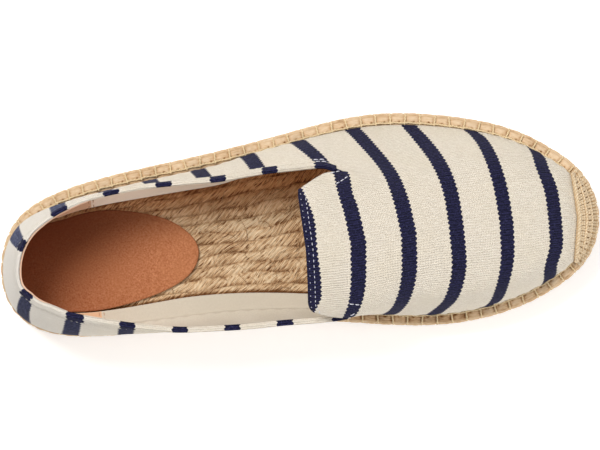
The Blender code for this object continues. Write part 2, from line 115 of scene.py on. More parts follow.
def easeSpan(start, end, slopes, step, t):     # cubic between two values with their slopes
    left = start * (1 + 2 * t) + slopes[0] * step * t
    right = end * (3 - 2 * t) + slopes[1] * step * (t - 1)
    return left * (1 - t) ** 2 + right * t**2


def through(xs, ys, x):    # monotone cubic through the points, read at x
    xs, ys = np.asarray(xs, float), np.asarray(ys, float)
    step = np.diff(xs)
    slope = np.diff(ys) / step
    same = slope[:-1] * slope[1:] > 0
    wide, narrow = 2 * step[1:] + step[:-1], step[1:] + 2 * step[:-1]
    first, second = np.where(same, slope[:-1], 1.0), np.where(same, slope[1:], 1.0)
    middle = np.where(same, (wide + narrow) / (wide / first + narrow / second), 0.0)
    bend = np.concatenate([slope[:1], middle, slope[-1:]])
    x = np.clip(x, xs[0], xs[-1])
    i = np.clip(np.searchsorted(xs, x) - 1, 0, len(step) - 1)
    return easeSpan(ys[i], ys[i + 1], (bend[i], bend[i + 1]), step[i], (x - xs[i]) / step[i])


def readTable(table, name, x):
    return through([row.x for row in table], [getattr(row, name) for row in table], x)


def closedSpline(points, each):
    points = np.asarray(points, float)
    n = len(points)
    following = np.roll(points, -1, 0)
    chord = np.linalg.norm(following - points, axis=1)
    matrix, right = np.zeros((n, n)), np.zeros((n, 2))
    for i in range(n):
        matrix[i, i - 1], matrix[i, i] = chord[i - 1], 2 * (chord[i - 1] + chord[i])
        matrix[i, (i + 1) % n] = chord[i]
        rise, fall = following[i] - points[i], points[i] - points[i - 1]
        right[i] = 6 * (rise / chord[i] - fall / chord[i - 1])
    curve = np.linalg.solve(matrix, right)
    out = []
    for i in range(n):
        for t in np.linspace(0, 1, each, endpoint=False):
            pull = ((1 - t) ** 3 - (1 - t)) * curve[i] + (t**3 - t) * curve[(i + 1) % n]
            out.append((1 - t) * points[i] + t * following[i] + pull * chord[i] ** 2 / 6)
    return np.array(out)


soleEdge = closedSpline(outline, 100)


def inset(loop, distance):
    along = np.roll(loop, -1, 0) - np.roll(loop, 1, 0)
    along /= np.linalg.norm(along, axis=1)[:, None]
    return loop + np.stack([-along[:, 1], along[:, 0]], 1) * distance


def spring(x):             # how far the underside has lifted off the floor
    past = (np.asarray(x, float) - shoe["springStart"]) / (shoe["length"] - shoe["springStart"])
    return shoe["toeSpring"] * np.clip(past, 0, 1) ** 2


def footbed(x):            # height of the rope's top face
    start, end = shoe["wedge"]
    down = np.clip((np.asarray(x, float) - start) / (end - start), 0, 1)
    drop = (shoe["footbedHeel"] - shoe["footbedBall"]) * down * down * (3 - 2 * down)
    return shoe["footbedHeel"] - drop + spring(x) * (1 - shoe["toeThin"] / shoe["toeSpring"])


# s runs once round the shoe: 0 to 1 fans round the heel, 1 to 2 goes forward along the inner
# side, 2 to 3 fans round the toe and 3 to 4 comes back along the outer side
Stand = namedtuple("Stand", "footX footY wayX wayY outer")


def stand(s):
    s = np.mod(np.asarray(s, float), 4.0)
    heel, inner, toe = s < 1, (s >= 1) & (s < 2), (s >= 2) & (s < 3)
    back, front = shoe["heelCentre"], shoe["toeCentre"]
    footX = np.where(inner, back + (s - 1) * (front - back), front - (s - 3) * (front - back))
    footX = np.where(heel, back, np.where(toe, front, footX))
    turn = np.where(heel, 90 + 180 * s, np.where(inner, -90, 90))
    turn = np.radians(np.where(toe, -90 + 180 * (s - 2), turn))
    outer = (s < 0.5) | (s >= 2.5)
    return Stand(footX, readTable(ridges, "y", footX), np.cos(turn), np.sin(turn), outer)


@functools.lru_cache(None)
def fanRadii(distance, centreX):
    loop = inset(soleEdge, distance)
    rel = loop - np.array([centreX, readTable(ridges, "y", centreX)])
    angle = np.arctan2(rel[:, 1], rel[:, 0])
    if centreX == shoe["heelCentre"]:
        angle = np.mod(angle, 2 * np.pi)
    order = np.argsort(angle)
    return angle[order], np.linalg.norm(rel, axis=1)[order]


@functools.lru_cache(None)
def bothSides(distance):   # the inset outline as y over x, for the outer and the inner side
    loop = inset(soleEdge, distance)
    loop = np.roll(loop, -int(loop[:, 0].argmin()), 0)
    tip = int(loop[:, 0].argmax())
    return loop[tip:][::-1], loop[: tip + 1]


def reach(s, distance):    # how far a column's foot is from the inset outline
    at = stand(s)
    turn = np.arctan2(at.wayY, at.wayX)
    heel = np.interp(np.mod(turn, 2 * np.pi), *fanRadii(distance, shoe["heelCentre"]))
    toe = np.interp(turn, *fanRadii(distance, shoe["toeCentre"]))
    outer, inner = (np.interp(at.footX, *side.T) for side in bothSides(distance))
    side = np.where(at.outer, outer - at.footY, at.footY - inner)
    s = np.mod(s, 4.0)
    return np.where(s < 1, heel, np.where((s >= 2) & (s < 3), toe, side))


def spot(s, radius, z):
    at = stand(s)
    return np.stack([at.footX + radius * at.wayX, at.footY + radius * at.wayY, z], -1)


def sideOf(x, outer):      # s of the column that stands at x on one side
    share = (np.asarray(x, float) - shoe["heelCentre"]) / (shoe["toeCentre"] - shoe["heelCentre"])
    return 4 - share if outer else 1 + share


def roundBack(x, count):   # s of columns from x on the outer side, round the heel to the inner
    return np.linspace(sideOf(x, True), 4 + sideOf(x, False), count)


def baseReach(s):          # how far a column's foot is from the canvas's base
    at, base = stand(s), reach(s, shoe["ledge"])
    x = at.footX + base * at.wayX
    beside = smoothStep(8, 34, x) * (1 - smoothStep(92, 118, x)) * at.outer
    return base - shoe["shelf"] * beside


# a column of the wall: its radius at the base is reach, and changes by straight * level
# + square * level squared; x is where its base stands
Wall = namedtuple("Wall", "reach x bottom rim height straight square")


def wallAt(s):
    at, base = stand(s), baseReach(s)
    x = at.footX + base * at.wayX
    read = functools.partial(readTable, sections)
    belly = np.where(at.outer, read("bellyOuter", x), read("bellyInner", x))
    lean = np.where(at.outer, read("leanOuter", x), read("leanInner", x))
    mid = shoe["bellyAt"]
    square = -(belly + mid * lean) / (mid * (1 - mid))
    bottom, rim = footbed(x) + shoe["gap"], read("rim", x)
    return Wall(base, x, bottom, rim, rim - bottom, -lean - square, square)


def skin(s, level):
    # the canvas's outer face: 0 to 1 climbs from base to rim, 1 to 2 goes on to the ridge
    s, level = np.broadcast_arrays(np.asarray(s, float), np.asarray(level, float))
    wall = wallAt(s)
    wallR = wall.reach + wall.straight * level + wall.square * level**2
    wallZ = wall.bottom + level * wall.height
    run = wall.straight + 2 * wall.square
    steep, at = np.hypot(run, wall.height), stand(s)
    startR = wall.reach + wall.straight + wall.square
    top = readTable(ridges, "z", at.footX)
    fall = readTable(ridges, "z", at.footX + 0.5) - readTable(ridges, "z", at.footX - 0.5)
    pull, t = np.hypot(startR, top - wall.rim), level - 1
    stay, leave = (1 + 2 * t) * (1 - t) ** 2, t * (1 - t) ** 2
    come, arrive = t * t * (3 - 2 * t), t * t * (t - 1)
    overR = startR * stay + run / steep * pull * leave - pull * arrive
    overZ = wall.rim * stay + wall.height / steep * pull * leave + top * come
    overZ = overZ - fall * at.wayX * pull * arrive
    return spot(s, np.where(level <= 1, wallR, overR), np.where(level <= 1, wallZ, overZ))


def outward(s, level):
    step = 1e-3
    around = skin(s + step, level) - skin(s - step, level)
    up = skin(s, level + step) - skin(s, level - step)
    normal = np.cross(around, up)
    size = np.linalg.norm(normal, axis=-1, keepdims=True)
    front = shoe["toeCentre"]
    slope = readTable(ridges, "z", front) - readTable(ridges, "z", front - 1.0)
    crown = np.array([-slope, 0.0, 1.0]) / math.hypot(slope, 1.0)
    return np.where(size > 1e-7, normal / np.maximum(size, 1e-12), crown)


def lifted(s, level, distance):
    s, level = np.broadcast_arrays(np.asarray(s, float), np.asarray(level, float))
    return skin(s, level) + outward(s, level) * np.asarray(distance, float)[..., None]


def hemPoint(s, inwards, height):      # a point on the footbed, that far in from the canvas's base
    r = baseReach(s) - inwards
    at = stand(s)
    return spot(s, r, footbed(at.footX + r * at.wayX) + shoe["gap"] + height)


def roundHeel(s):          # 1 at the back of the heel, fading to 0 along both sides
    s = np.mod(s, 4.0)
    return smoothStep(0.0, 0.25, s) * (1 - smoothStep(0.75, 1.0, s)) * (s < 1)


def turnedIn(s, x):        # width of canvas that lies on the footbed, trimmed under the heel
    outer, inner = readTable(sections, "marginOuter", x), readTable(sections, "marginInner", x)
    return np.where(stand(s).outer, outer, inner) - shoe["heelTrim"] * roundHeel(s)


def tabLevel(x):           # level of the tab's edge, from its corner to the notch
    share = (shoe["notch"] - x) / (shoe["notch"] - shoe["throat"])
    return 1 + shoe["tabCorner"] * np.clip(share, 0, 1)


def tabX(x, level, outer): # the tab's corners stand a little further back than its middle
    near = np.clip((shoe["notch"] - x) / (shoe["notch"] - shoe["throat"]), 0, 1.1) ** 1.5
    share = np.clip((2.05 - level) / 0.75, 0, 1)
    tip = np.clip(1 - (level - 1 - shoe["tabCorner"]) / 0.13, 0, 1) ** 2
    return x - near * np.where(outer, 1.6 * share - 0.4 * tip, 0.1 + 1.9 * share**1.5 - 2.2 * tip)


# the edge of the sole, read by how far round it one has gone
def runAlong(points):      # mm along a path from its start to each of its points
    return np.concatenate([[0.0], np.cumsum(np.linalg.norm(np.diff(points, axis=0), axis=1))])


def readPath(at, run, points):         # the path's places at those runs
    return np.stack([np.interp(at, run, column) for column in points.T], -1)


closedEdge = np.vstack([soleEdge, soleEdge[:1]])
edgeRuns = runAlong(closedEdge)
edgeLength = edgeRuns[-1]
inwardWay = inset(soleEdge, 1.0) - soleEdge
inwardWay = np.vstack([inwardWay, inwardWay[:1]])
stitchPitch = 6.4          # mm from one blanket stitch to the next, before they are spread evenly
segments = round(edgeLength / stitchPitch)
segment = edgeLength / segments


def edgeSpot(run, inwards, height=0.0):
    # a point that far inside the edge, and that far above the rope's top face
    run, inwards, height = np.broadcast_arrays(np.mod(run, edgeLength), inwards, height)
    flat = readPath(run, edgeRuns, closedEdge)
    flat = flat + inwards[..., None] * readPath(run, edgeRuns, inwardWay)
    return np.stack([flat[..., 0], flat[..., 1], footbed(flat[..., 0]) + height], -1)


def runAt(points):         # how far round the edge is nearest to each point
    away = points[:, None, :2] - soleEdge[None]
    return edgeRuns[np.hypot(away[..., 0], away[..., 1]).argmin(1)]


# making meshes
def newPiece(name, mesh, looks, replaced=(), doubles=0.02, flip=False):
    # the tables count x from the heel in millimetres; a piece is centred and in metres
    if doubles:
        bmesh.ops.remove_doubles(mesh, verts=mesh.verts, dist=doubles)
    if flip:
        bmesh.ops.reverse_faces(mesh, faces=mesh.faces)
    bmesh.ops.translate(mesh, verts=mesh.verts, vec=(-shoe["length"] / 2, 0, 0))
    bmesh.ops.scale(mesh, verts=mesh.verts, vec=(0.001, 0.001, 0.001))
    data = bpy.data.meshes.new(name)
    mesh.to_mesh(data)
    mesh.free()
    data.shade_smooth()
    for look in looks:
        data.materials.append(look)
    piece = bpy.data.objects.new(name, data)
    bpy.context.scene.collection.objects.link(piece)
    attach(piece, "root")
    if replaced:
        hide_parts(*replaced)
    return piece


def thicken(piece, thickness, inside=0):       # inside counts on to the inner face's material
    wall = piece.modifiers.new("wall", "SOLIDIFY")
    wall.thickness, wall.offset, wall.use_even_offset = thickness * 0.001, -1, True
    wall.material_offset = inside


def layGrid(mesh, spots, cloth=None, depth=None):
    # a bmesh grid moved to the spots, with cloth coordinates in millimetres and a "depth"
    # from 0 in the hollows to 1 on top, which the jute finishes turn into painted shade in the hollows
    columns, rows = spots.shape[0] - 1, spots.shape[1] - 1
    known = len(mesh.verts)
    bmesh.ops.create_grid(mesh, x_segments=columns, y_segments=rows, size=1)
    mesh.verts.ensure_lookup_table()
    verts = mesh.verts[known:]
    share = (np.array([v.co[:2] for v in verts]) + 1) / 2
    i, j = np.rint(share[:, 0] * columns).astype(int), np.rint(share[:, 1] * rows).astype(int)
    for v, co in zip(verts, spots[i, j]):
        v.co = co
    if depth is not None:
        layer = mesh.verts.layers.float.get("depth") or mesh.verts.layers.float.new("depth")
        for v, value in zip(mesh.verts[known:], depth[i, j]):
            v[layer] = value
    if cloth is not None:
        layer = mesh.loops.layers.uv.get("cloth") or mesh.loops.layers.uv.new("cloth")
        verts = mesh.verts[known:]
        lookup = dict(zip(verts, cloth[i, j] * 0.001))
        for face in {f for v in verts for f in v.link_faces}:
            for loop in face.loops:
                loop[layer].uv = lookup[loop.vert]


def sewThread(mesh, path, up, radius, sides=6, lobes=0, lobe=0.0, turn=1.0, taper=True):
    # a round thread along path, lying on cloth that faces up; lobes give it a twist
    path = np.asarray(path, float)
    along = np.gradient(path, axis=0)
    along /= np.linalg.norm(along, axis=1)[:, None]
    up = np.broadcast_to(np.asarray(up, float), path.shape)
    side = np.cross(along, up)
    side /= np.linalg.norm(side, axis=1)[:, None]
    up = np.cross(side, along)
    run = runAlong(path)
    angle = -2 * np.pi * np.arange(sides + 1) / sides
    r = np.full((len(path), sides + 1), float(radius))
    if lobes:
        r *= 1 + lobe * np.cos(lobes * angle[None] - turn * run[:, None])
    if taper:
        end = np.clip(np.minimum(run, run[-1] - run) / (1.5 * radius), 0, 1)
        r *= np.sqrt(1 - (1 - end) ** 2)[:, None]
    around = np.cos(angle)[None, :, None] * up[:, None] + np.sin(angle)[None, :, None] * side[:, None]
    cloth = np.stack(np.broadcast_arrays(run[:, None], -angle[None] * radius), -1)
    layGrid(mesh, path[:, None] + r[..., None] * around, cloth)


def evenly(points, step):  # the same path with points about that far apart
    points = np.asarray(points, float)
    run = runAlong(points)
    return readPath(np.linspace(0, run[-1], max(int(round(run[-1] / step)), 2) + 1), run, points)


def sewRow(mesh, path, up, length, pitch, radius, start=0.5):
    # running stitch along a path on the cloth: each stitch rises from the cloth and dips back
    path, up = np.asarray(path, float), np.asarray(up, float)
    run = runAlong(path)
    swell = np.array([-0.12, 0.05, 0.1, 0.05, -0.12])[:, None]
    for begin in np.arange(start, run[-1] - length, pitch):
        at = np.linspace(begin, begin + length, len(swell))
        faces = readPath(at, run, up)
        sewThread(mesh, readPath(at, run, path) + faces * swell, faces, radius, 4)


# materials; a pattern's scale is in cells per metre, so 1000 gives cells of one millimetre
def hexColour(text):       # sRGB hex to linear
    parts = [int(text[i : i + 2], 16) / 255 for i in (1, 3, 5)]
    return (*[p / 12.92 if p <= 0.04045 else ((p + 0.055) / 1.055) ** 2.4 for p in parts], 1.0)


def addNode(tree, kind, inputs=(), output=None, **settings):
    # one node with its settings; in the order that the node shows them, each input takes a
    # value, a hex colour or another node's output, and None leaves it as it is
    node = tree.nodes.new("ShaderNode" + kind)
    for name, value in settings.items():
        setattr(node, name, value)
    for socket, value in zip([one for one in node.inputs if one.enabled], inputs):
        if isinstance(value, bpy.types.NodeSocket):
            tree.links.new(value, socket)
        elif value is not None:
            socket.default_value = hexColour(value) if isinstance(value, str) else value
    return node.outputs[output] if output else next(one for one in node.outputs if one.enabled)


def tintOver(add, colour, value, low, high, tint, start=0.0, end=1.0, ease="LINEAR", blend="MIX"):
    # the tint's share goes from start to end as the value climbs from low to high
    share = add("MapRange", [value, low, high, start, end], interpolation_type=ease)
    return add("Mix", [share, colour, tint], data_type="RGBA", blend_type=blend)


def tintAlong(add, colour, way, *tinting, **how):      # the same by how far along a direction
    place = add("VectorMath", [add("TexCoord", output="Object"), way], operation="DOT_PRODUCT")
    return tintOver(add, colour, place, *tinting, **how)


def newMaterial(name, roughness, sheen, specular):
    look = bpy.data.materials.new(name)
    look.use_nodes = True
    sockets = look.node_tree.nodes["Principled BSDF"].inputs
    sockets["Roughness"].default_value = roughness
    sockets["Sheen Weight"].default_value = sheen
    sockets["Sheen Roughness"].default_value = 0.5
    sockets["Specular IOR Level"].default_value = specular
    return look, functools.partial(addNode, look.node_tree)


def finishSurface(look, colour, height, strength, depth):
    # colour and relief go to the shader; depth is the relief's in millimetres
    tree = look.node_tree
    sockets = tree.nodes["Principled BSDF"].inputs
    tree.links.new(colour, sockets["Base Color"])
    bump = addNode(tree, "Bump", [strength, depth * 0.001, None, height])
    tree.links.new(bump, sockets["Normal"])
    return look


canvasFinish = {
    "white": "#f3ebdd",      # unbleached cotton
    "shade": "#d5c8b5",      # the same between its ribs
    "flax": "#e6dac4",       # warmer patches
    "washed": "#e6e2dd",     # cooler round the heel
    "navy": "#2c2b50",
    "navyShade": "#0e0f22",
    "lint": "#5c5f86",       # pale fibres rubbed out of the navy
    "worn": "#7a83a6",       # navy at the heel, where it is handled most
    "rib": 1.05,             # mm from one rib to the next, drawn a little coarse so it shows
    "pick": 0.7,             # mm from one crossing thread to the next
    "slubs": (330.0, 1500.0, 1.0),     # thick places in the yarn, drawn out along a rib
    "stripe": 0.121,         # half a stripe, as a share of the pitch
    "pitch": 21.5,           # mm from stripe to stripe
    "tooth": 2.05,           # mm from one tooth of a stripe's edge to the next
    "bite": 0.032,           # how far a tooth stands out, as a share of the pitch
}


def wovenCanvas(name, wear=0.0):
    # ribbed cotton canvas: quite matt, with ribs just coarse enough to see and slubs in them
    f, turn = canvasFinish, 2 * math.pi * 1000
    look, add = newMaterial(name, 0.9, 0.02, 0.12)
    cloth = add("UVMap", uv_map="cloth")
    u, v = add("SeparateXYZ", [cloth], "X"), add("SeparateXYZ", [cloth], "Y")
    wander = add("TexNoise", [cloth, 240.0])
    lean = add("Math", [wander, 5.0], operation="MULTIPLY")
    waves = []
    for way, size in ((v, f["rib"]), (u, f["pick"])):
        phase = add("Math", [way, turn / size, lean], operation="MULTIPLY_ADD")
        waves.append(add("Math", [phase], operation="SINE"))
    over = add("Math", waves, operation="MULTIPLY")
    weave = add("Math", [over, 0.7, waves[0]], operation="MULTIPLY_ADD")
    slub = add("TexNoise", [add("Mapping", [cloth, None, None, f["slubs"]]), 1.0, 3.0, 0.75])
    speck = add("TexNoise", [cloth, 1500.0, 2.0])
    fine = add("Math", [slub, speck], operation="ADD")
    fine = add("Math", [weave, 0.13, fine], operation="MULTIPLY_ADD")
    colour = tintOver(add, f["shade"], fine, 0.62, 1.3, f["white"])
    colour = tintOver(add, colour, add("TexNoise", [cloth, 50.0]), 0.42, 0.68, f["flax"], 0.0, 0.35)
    where = add("TexCoord", output="Object")
    x, y = add("SeparateXYZ", [where], "X"), add("SeparateXYZ", [where], "Y")
    colour = tintOver(add, colour, x, -0.12, -0.07, f["washed"], 0.7, 0.0)

    # the stripes, toothed along their edges
    number = add("Math", [u, f["pitch"] * 0.001], operation="DIVIDE")
    away = add("Math", [number, 0.5], operation="PINGPONG")
    phase = add("Math", [wander, 2.5], operation="MULTIPLY")
    phase = add("Math", [v, turn / f["tooth"] / 2, phase], operation="MULTIPLY_ADD")
    tooth = add("Math", [add("Math", [phase], operation="SINE")], operation="ABSOLUTE")
    edge = add("Math", [tooth, f["bite"], f["stripe"]], operation="MULTIPLY_ADD")
    edge = add("Math", [slub, 0.03, edge], operation="MULTIPLY_ADD")
    inside = add("Math", [edge, away], operation="SUBTRACT")
    raised = add("Math", [tooth, 0.12, fine], operation="MULTIPLY_ADD")
    navy = tintOver(add, f["navyShade"], raised, 0.9, 1.32, f["navy"])
    lint = add("TexNoise", [cloth, 1250.0, 3.0, 0.8])
    navy = tintOver(add, navy, lint, 0.56, 0.72, f["lint"], 0.0, 0.6)
    if wear:
        rubbed = add("MapRange", [x, -0.118, -0.045, wear, 0.0])
        patchy = add("MapRange", [add("TexNoise", [cloth, 950.0, 3.0, 0.7]), 0.42, 0.66, 0.1, 1.55])
        rubbed = add("Math", [rubbed, patchy], operation="MULTIPLY")
        outerMore = add("MapRange", [y, -0.02, 0.02, 0.35, 1.2])
        rubbed = add("Math", [rubbed, outerMore], operation="MULTIPLY")
        navy = add("Mix", [rubbed, navy, f["worn"]], data_type="RGBA")
    colour = tintOver(add, colour, inside, 0.004, 0.011, navy)
    height = add("Math", [slub, 1.6, weave], operation="MULTIPLY_ADD")
    return finishSurface(look, colour, height, 0.9, 0.16)


liningTones = {
    "shade": "#dbd5c7",
    "light": "#ece7da",
    "patch": "#d4cebd",
    # a direction, from where to where along it in metres, the tint and its share at either end
    "tints": (
        ((0.055, 0.0, 1.0), 0.0206, 0.0222, "#bcb09f", 0.62, 0.0),     # painted shade where the margin lies on the rope, beside the footbed
        ((0.0, 1.0, 0.0), -0.012, 0.018, "#fff1e2"),                   # painted light: lighter and warmer on the outer side, for bounce from the pad and rope
        ((1.0, 0.0, 0.0), -0.0865, -0.0862, "#deac83", 0.75, 0.0),     # pigskin under the heel
    ),
}


def liningCloth():
    # plain cotton twill, washed out and smooth, so it reads lighter and flatter than canvas
    f = liningTones
    look, add = newMaterial("cotton lining", 0.9, 0.02, 0.12)
    where = add("TexCoord", output="Object")
    fine = add("TexNoise", [where, 1400.0, 3.0, 0.7])
    colour = tintOver(add, f["shade"], fine, 0.3, 0.72, f["light"])
    colour = tintOver(add, colour, add("TexNoise", [where, 40.0]), 0.4, 0.7, f["patch"], 0.0, 0.3)
    # painted shade by the footbed and painted light on the outer side; the pigskin tint is the patch's
    # own colour
    for tinting in f["tints"]:
        colour = tintAlong(add, colour, *tinting)
    return finishSurface(look, colour, fine, 0.35, 0.08)


def juteFinish(name, dark, middle, light, fibre, strand=0.0, paintedShade=None):
    # retted jute: dull, hairy and uneven, straw-coloured on top and darker in the hollows as painted
    # shade;
    # strand is the mm from one dark line of a twist to the next, where the twist is fine; these lines
    # are painted shade between the plies
    look, add = newMaterial(name, 0.92, 0.03, 0.15)
    cloth = add("UVMap", uv_map="cloth")
    hair = add("TexNoise", [add("Mapping", [cloth, None, None, fibre]), 1.0, 3.0, 0.65])
    blotch = add("TexNoise", [cloth, 130.0])
    hairy = 0.5 if strand else 0.26
    tones = [
        # depth: painted shade in the hollows, with each strand's own tone
        add("Attribute", output="Fac", attribute_name="depth"),
        add("MapRange", [blotch, 0.3, 0.7, -0.1, 0.1]),
    ]
    if strand:
        u = add("Math", [add("SeparateXYZ", [cloth], "X"), strand * 0.001], operation="DIVIDE")
        u = add("Math", [blotch, 0.5, u], operation="MULTIPLY_ADD")
        line = add("Math", [u, 0.5], operation="PINGPONG")
        drawn = add("Mapping", [cloth, None, None, (1100.0, 330.0, 1.0)])
        split = add("TexNoise", [drawn, 1.0, 2.0])     # where the fibres part, darkened as painted shade
        tones.append(add("MapRange", [line, 0.0, 0.2, -0.4, 0.0]))
        tones.append(add("MapRange", [split, 0.3, 0.4, -0.9, 0.0]))
    tone = add("MapRange", [hair, 0.3, 0.7, -hairy, hairy])
    for more in tones:
        tone = add("Math", [tone, more], operation="ADD")
    colour = tintOver(add, dark, tone, 0.0, 0.55, middle)
    colour = tintOver(add, colour, tone, 0.5, 1.1, light)
    if paintedShade:                  # painted shade: a way, from one place to another along it, and the tint it multiplies in
        colour = tintAlong(add, colour, *paintedShade, blend="MULTIPLY")
    return finishSurface(look, colour, tone, 0.6, 0.22)


def threadFinish(name, dark, light):
    # spun sewing thread: a fine slanting twist, a little glossier than the cloth it holds
    look, add = newMaterial(name, 0.75, 0.05, 0.25)
    cloth = add("UVMap", uv_map="cloth")
    ply = add("TexWave", [cloth, 420.0, 1.5, 1.0], "Fac", bands_direction="DIAGONAL")
    tone = add("Math", [ply, add("TexNoise", [cloth, 1800.0])], operation="ADD")
    return finishSurface(look, tintOver(add, dark, tone, 0.4, 1.5, light), ply, 0.6, 0.15)


suedeTones = {
    "sheen": "#e0a070",
    "dark": "#93502c",
    "light": "#cf8e66",
    "stroked": "#b97950",
    "tints": (             # painted shade: darker toward the outer side and the heel, where the walls shade the pad
        ((-0.45, 0.89, 0.0), 0.016, 0.06, "#5e2810", 0.0, 0.85),
        ((-1.0, 0.0, 0.0), 0.045, 0.1, "#5e2810", 0.0, 0.35),
    ),
}


def suedeFinish():
    # brushed suede: a short nap that scatters light, patchy where it has been stroked
    f = suedeTones
    look, add = newMaterial("brushed suede", 0.85, 0.08, 0.2)
    sockets = look.node_tree.nodes["Principled BSDF"].inputs
    sockets["Sheen Tint"].default_value = hexColour(f["sheen"])
    where = add("TexCoord", output="Object")
    nap = add("TexNoise", [where, 1300.0, 4.0, 0.75])
    stroked = add("TexNoise", [where, 60.0, 3.0])
    colour = tintOver(add, f["dark"], nap, 0.3, 0.7, f["light"])
    colour = tintOver(add, colour, stroked, 0.35, 0.7, f["stroked"], 0.0, 0.5)
    # the tints paint the walls' shade on the pad
    for tinting in f["tints"]:
        colour = tintAlong(add, colour, *tinting, ease="SMOOTHSTEP")
    return finishSurface(look, colour, nap, 0.8, 0.18)


def pigskinFinish(dark, light):
    # thin unlined pigskin, pinkish tan and nearly matt, with a fine pore
    look, add = newMaterial("pigskin lining", 0.7, 0.05, 0.3)
    where = add("TexCoord", output="Object")
    colour = tintOver(add, dark, add("TexNoise", [where, 70.0, 3.0]), 0.3, 0.7, light)
    return finishSurface(look, colour, add("TexVoronoi", [where, 900.0]), 0.3, 0.1)


def rubberFinish(crease, dark, light):
    # pressed crepe rubber: brown, slightly waxy, crinkled by its mould into short ripples
    look, add = newMaterial("pressed rubber", 0.55, 0.0, 0.4)
    where = add("TexCoord", output="Object")
    grain = add("TexNoise", [where, 900.0, 3.0, 0.6])
    ripple = add("TexVoronoi", [where, 330.0], feature="DISTANCE_TO_EDGE")
    cell = add("MapRange", [ripple, 0.0, 0.22])
    brown = tintOver(add, dark, add("TexNoise", [where, 50.0]), 0.3, 0.7, light)
    # the creases between the ripples take the darker crease colour, as painted shade
    colour = add("Mix", [cell, crease, brown], data_type="RGBA")
    height = add("Math", [grain, 0.4, cell], operation="MULTIPLY_ADD")
    return finishSurface(look, colour, height, 0.6, 0.35)


# striped canvas upper
canvasPlan = {
    "sideColumns": 62,
    "toeColumns": 92,
    "rearColumns": 142,
    "tabColumns": 15,
    "marginRows": 6,
    "cornerRows": 4,
    "wallRows": 32,
    "topRows": 42,
    "cloth": 0.9,          # canvas with its lining glued in
    "pucker": 0.28,        # mm that the blanket stitch pulls the canvas in and out
    "slack": 0.24,         # mm that the wall waves where nothing stretches it
    "heelArc": 75.0,       # mm round the heel at the rim
    "band": 4.2,           # mm either side of a stripe's middle that aren't stretched
    "tabLag": 0.19,        # share of the pitch by which the tab's stripe misses the side's
    "tabLagAt": 147.0,     # and where, in mm from the heel
    "pulled": 4.5,         # mm up the wall that the blanket stitch's pull is felt
    "toeNarrow": 0.1,      # share by which the stripes are narrower over the toe
    # how far the stripes are pulled on at the tab's outer and inner corner, as a share of the
    # pitch, and over how many levels
    "cornerPull": ((0.18, 0.6), (0.27, 0.25)),
}

# where the middle of each stripe lies: mm from the heel, at levels up the wall and over the top
stripeNumbers = (-5, -4, -3, -2, -1, 0, 1, 2, 3, 4, 5, 6, 7)
stripeLevels = (0.0, 0.5, 1.0, 1.5, 2.0)
stripesOuter = (
    (-13.0, 8.0, 27.0, 47.0, 67.0, 87.3, 108.0, 130.0, 154.0, 178.0, 203.8, 228.6, 249.0),
    (-13.0, 8.5, 28.5, 48.5, 67.5, 88.3, 110.2, 133.5, 160.3, 183.7, 207.8, 230.9, 251.5),
    (-12.0, 7.0, 30.0, 51.0, 69.8, 91.3, 114.0, 141.2, 166.9, 188.4, 210.6, 231.9, 253.5),
    (4.0, 25.0, 46.0, 67.0, 88.0, 108.5, 131.1, 149.1, 170.6, 191.7, 212.9, 234.3, 255.5),
    (6.0, 27.0, 48.0, 69.0, 90.0, 111.0, 131.2, 151.4, 172.4, 192.7, 213.9, 234.8, 256.0),
)
stripesInner = (
    (-15.0, 10.5, 28.0, 50.0, 72.5, 94.0, 115.5, 137.0, 158.5, 179.5, 203.5, 229.2, 249.0),
    (-14.0, 10.5, 29.0, 51.2, 73.5, 95.0, 116.8, 139.5, 162.0, 182.5, 207.2, 231.0, 251.5),
    (-13.0, 7.0, 31.8, 53.0, 74.5, 96.2, 118.2, 143.0, 166.2, 187.9, 209.9, 231.5, 253.5),
    (4.0, 25.0, 46.0, 67.0, 88.0, 108.5, 131.1, 149.4, 170.9, 192.2, 213.0, 234.3, 255.5),
    stripesOuter[-1],      # both sides meet on the ridge
)


def overLevels(levels, rows, level, wall):
    # smooth reading between rows, one row for each level; a column that is only wall takes
    # its slope at the rim from below
    levels, rows = np.asarray(levels, float), np.asarray(rows, float)
    bend = np.gradient(rows, levels, axis=0)
    bend[2] = np.where(wall, (rows[2] - rows[1]) / (levels[2] - levels[1]), bend[2])
    i = np.clip(np.searchsorted(levels, level) - 1, 0, len(levels) - 2)
    k = np.arange(rows.shape[1])
    step = levels[i + 1] - levels[i]
    slopes = (bend[i, k], bend[i + 1, k])
    return easeSpan(rows[i, k], rows[i + 1, k], slopes, step, (level - levels[i]) / step)


def evenStripes(count, spacing, narrow):
    # each stripe keeps its own width, and the white between them takes up the difference
    pitch, band = canvasFinish["pitch"], canvasPlan["band"]
    near = np.rint(count)
    away = np.abs(count - near) * spacing
    rest = (away - band) / (spacing / 2 - band) * (pitch / 2 - band * narrow)
    moved = np.where(away < band, away * narrow, band * narrow + rest)
    return near + np.sign(count - near) * moved / pitch


def alongHeel(s, x):       # x, carried on round the heel by the length of cloth
    arc = np.where(s < 0.5, s, 1 - s) * canvasPlan["heelArc"]
    return np.where(s < 1, shoe["heelCentre"] - arc, x)


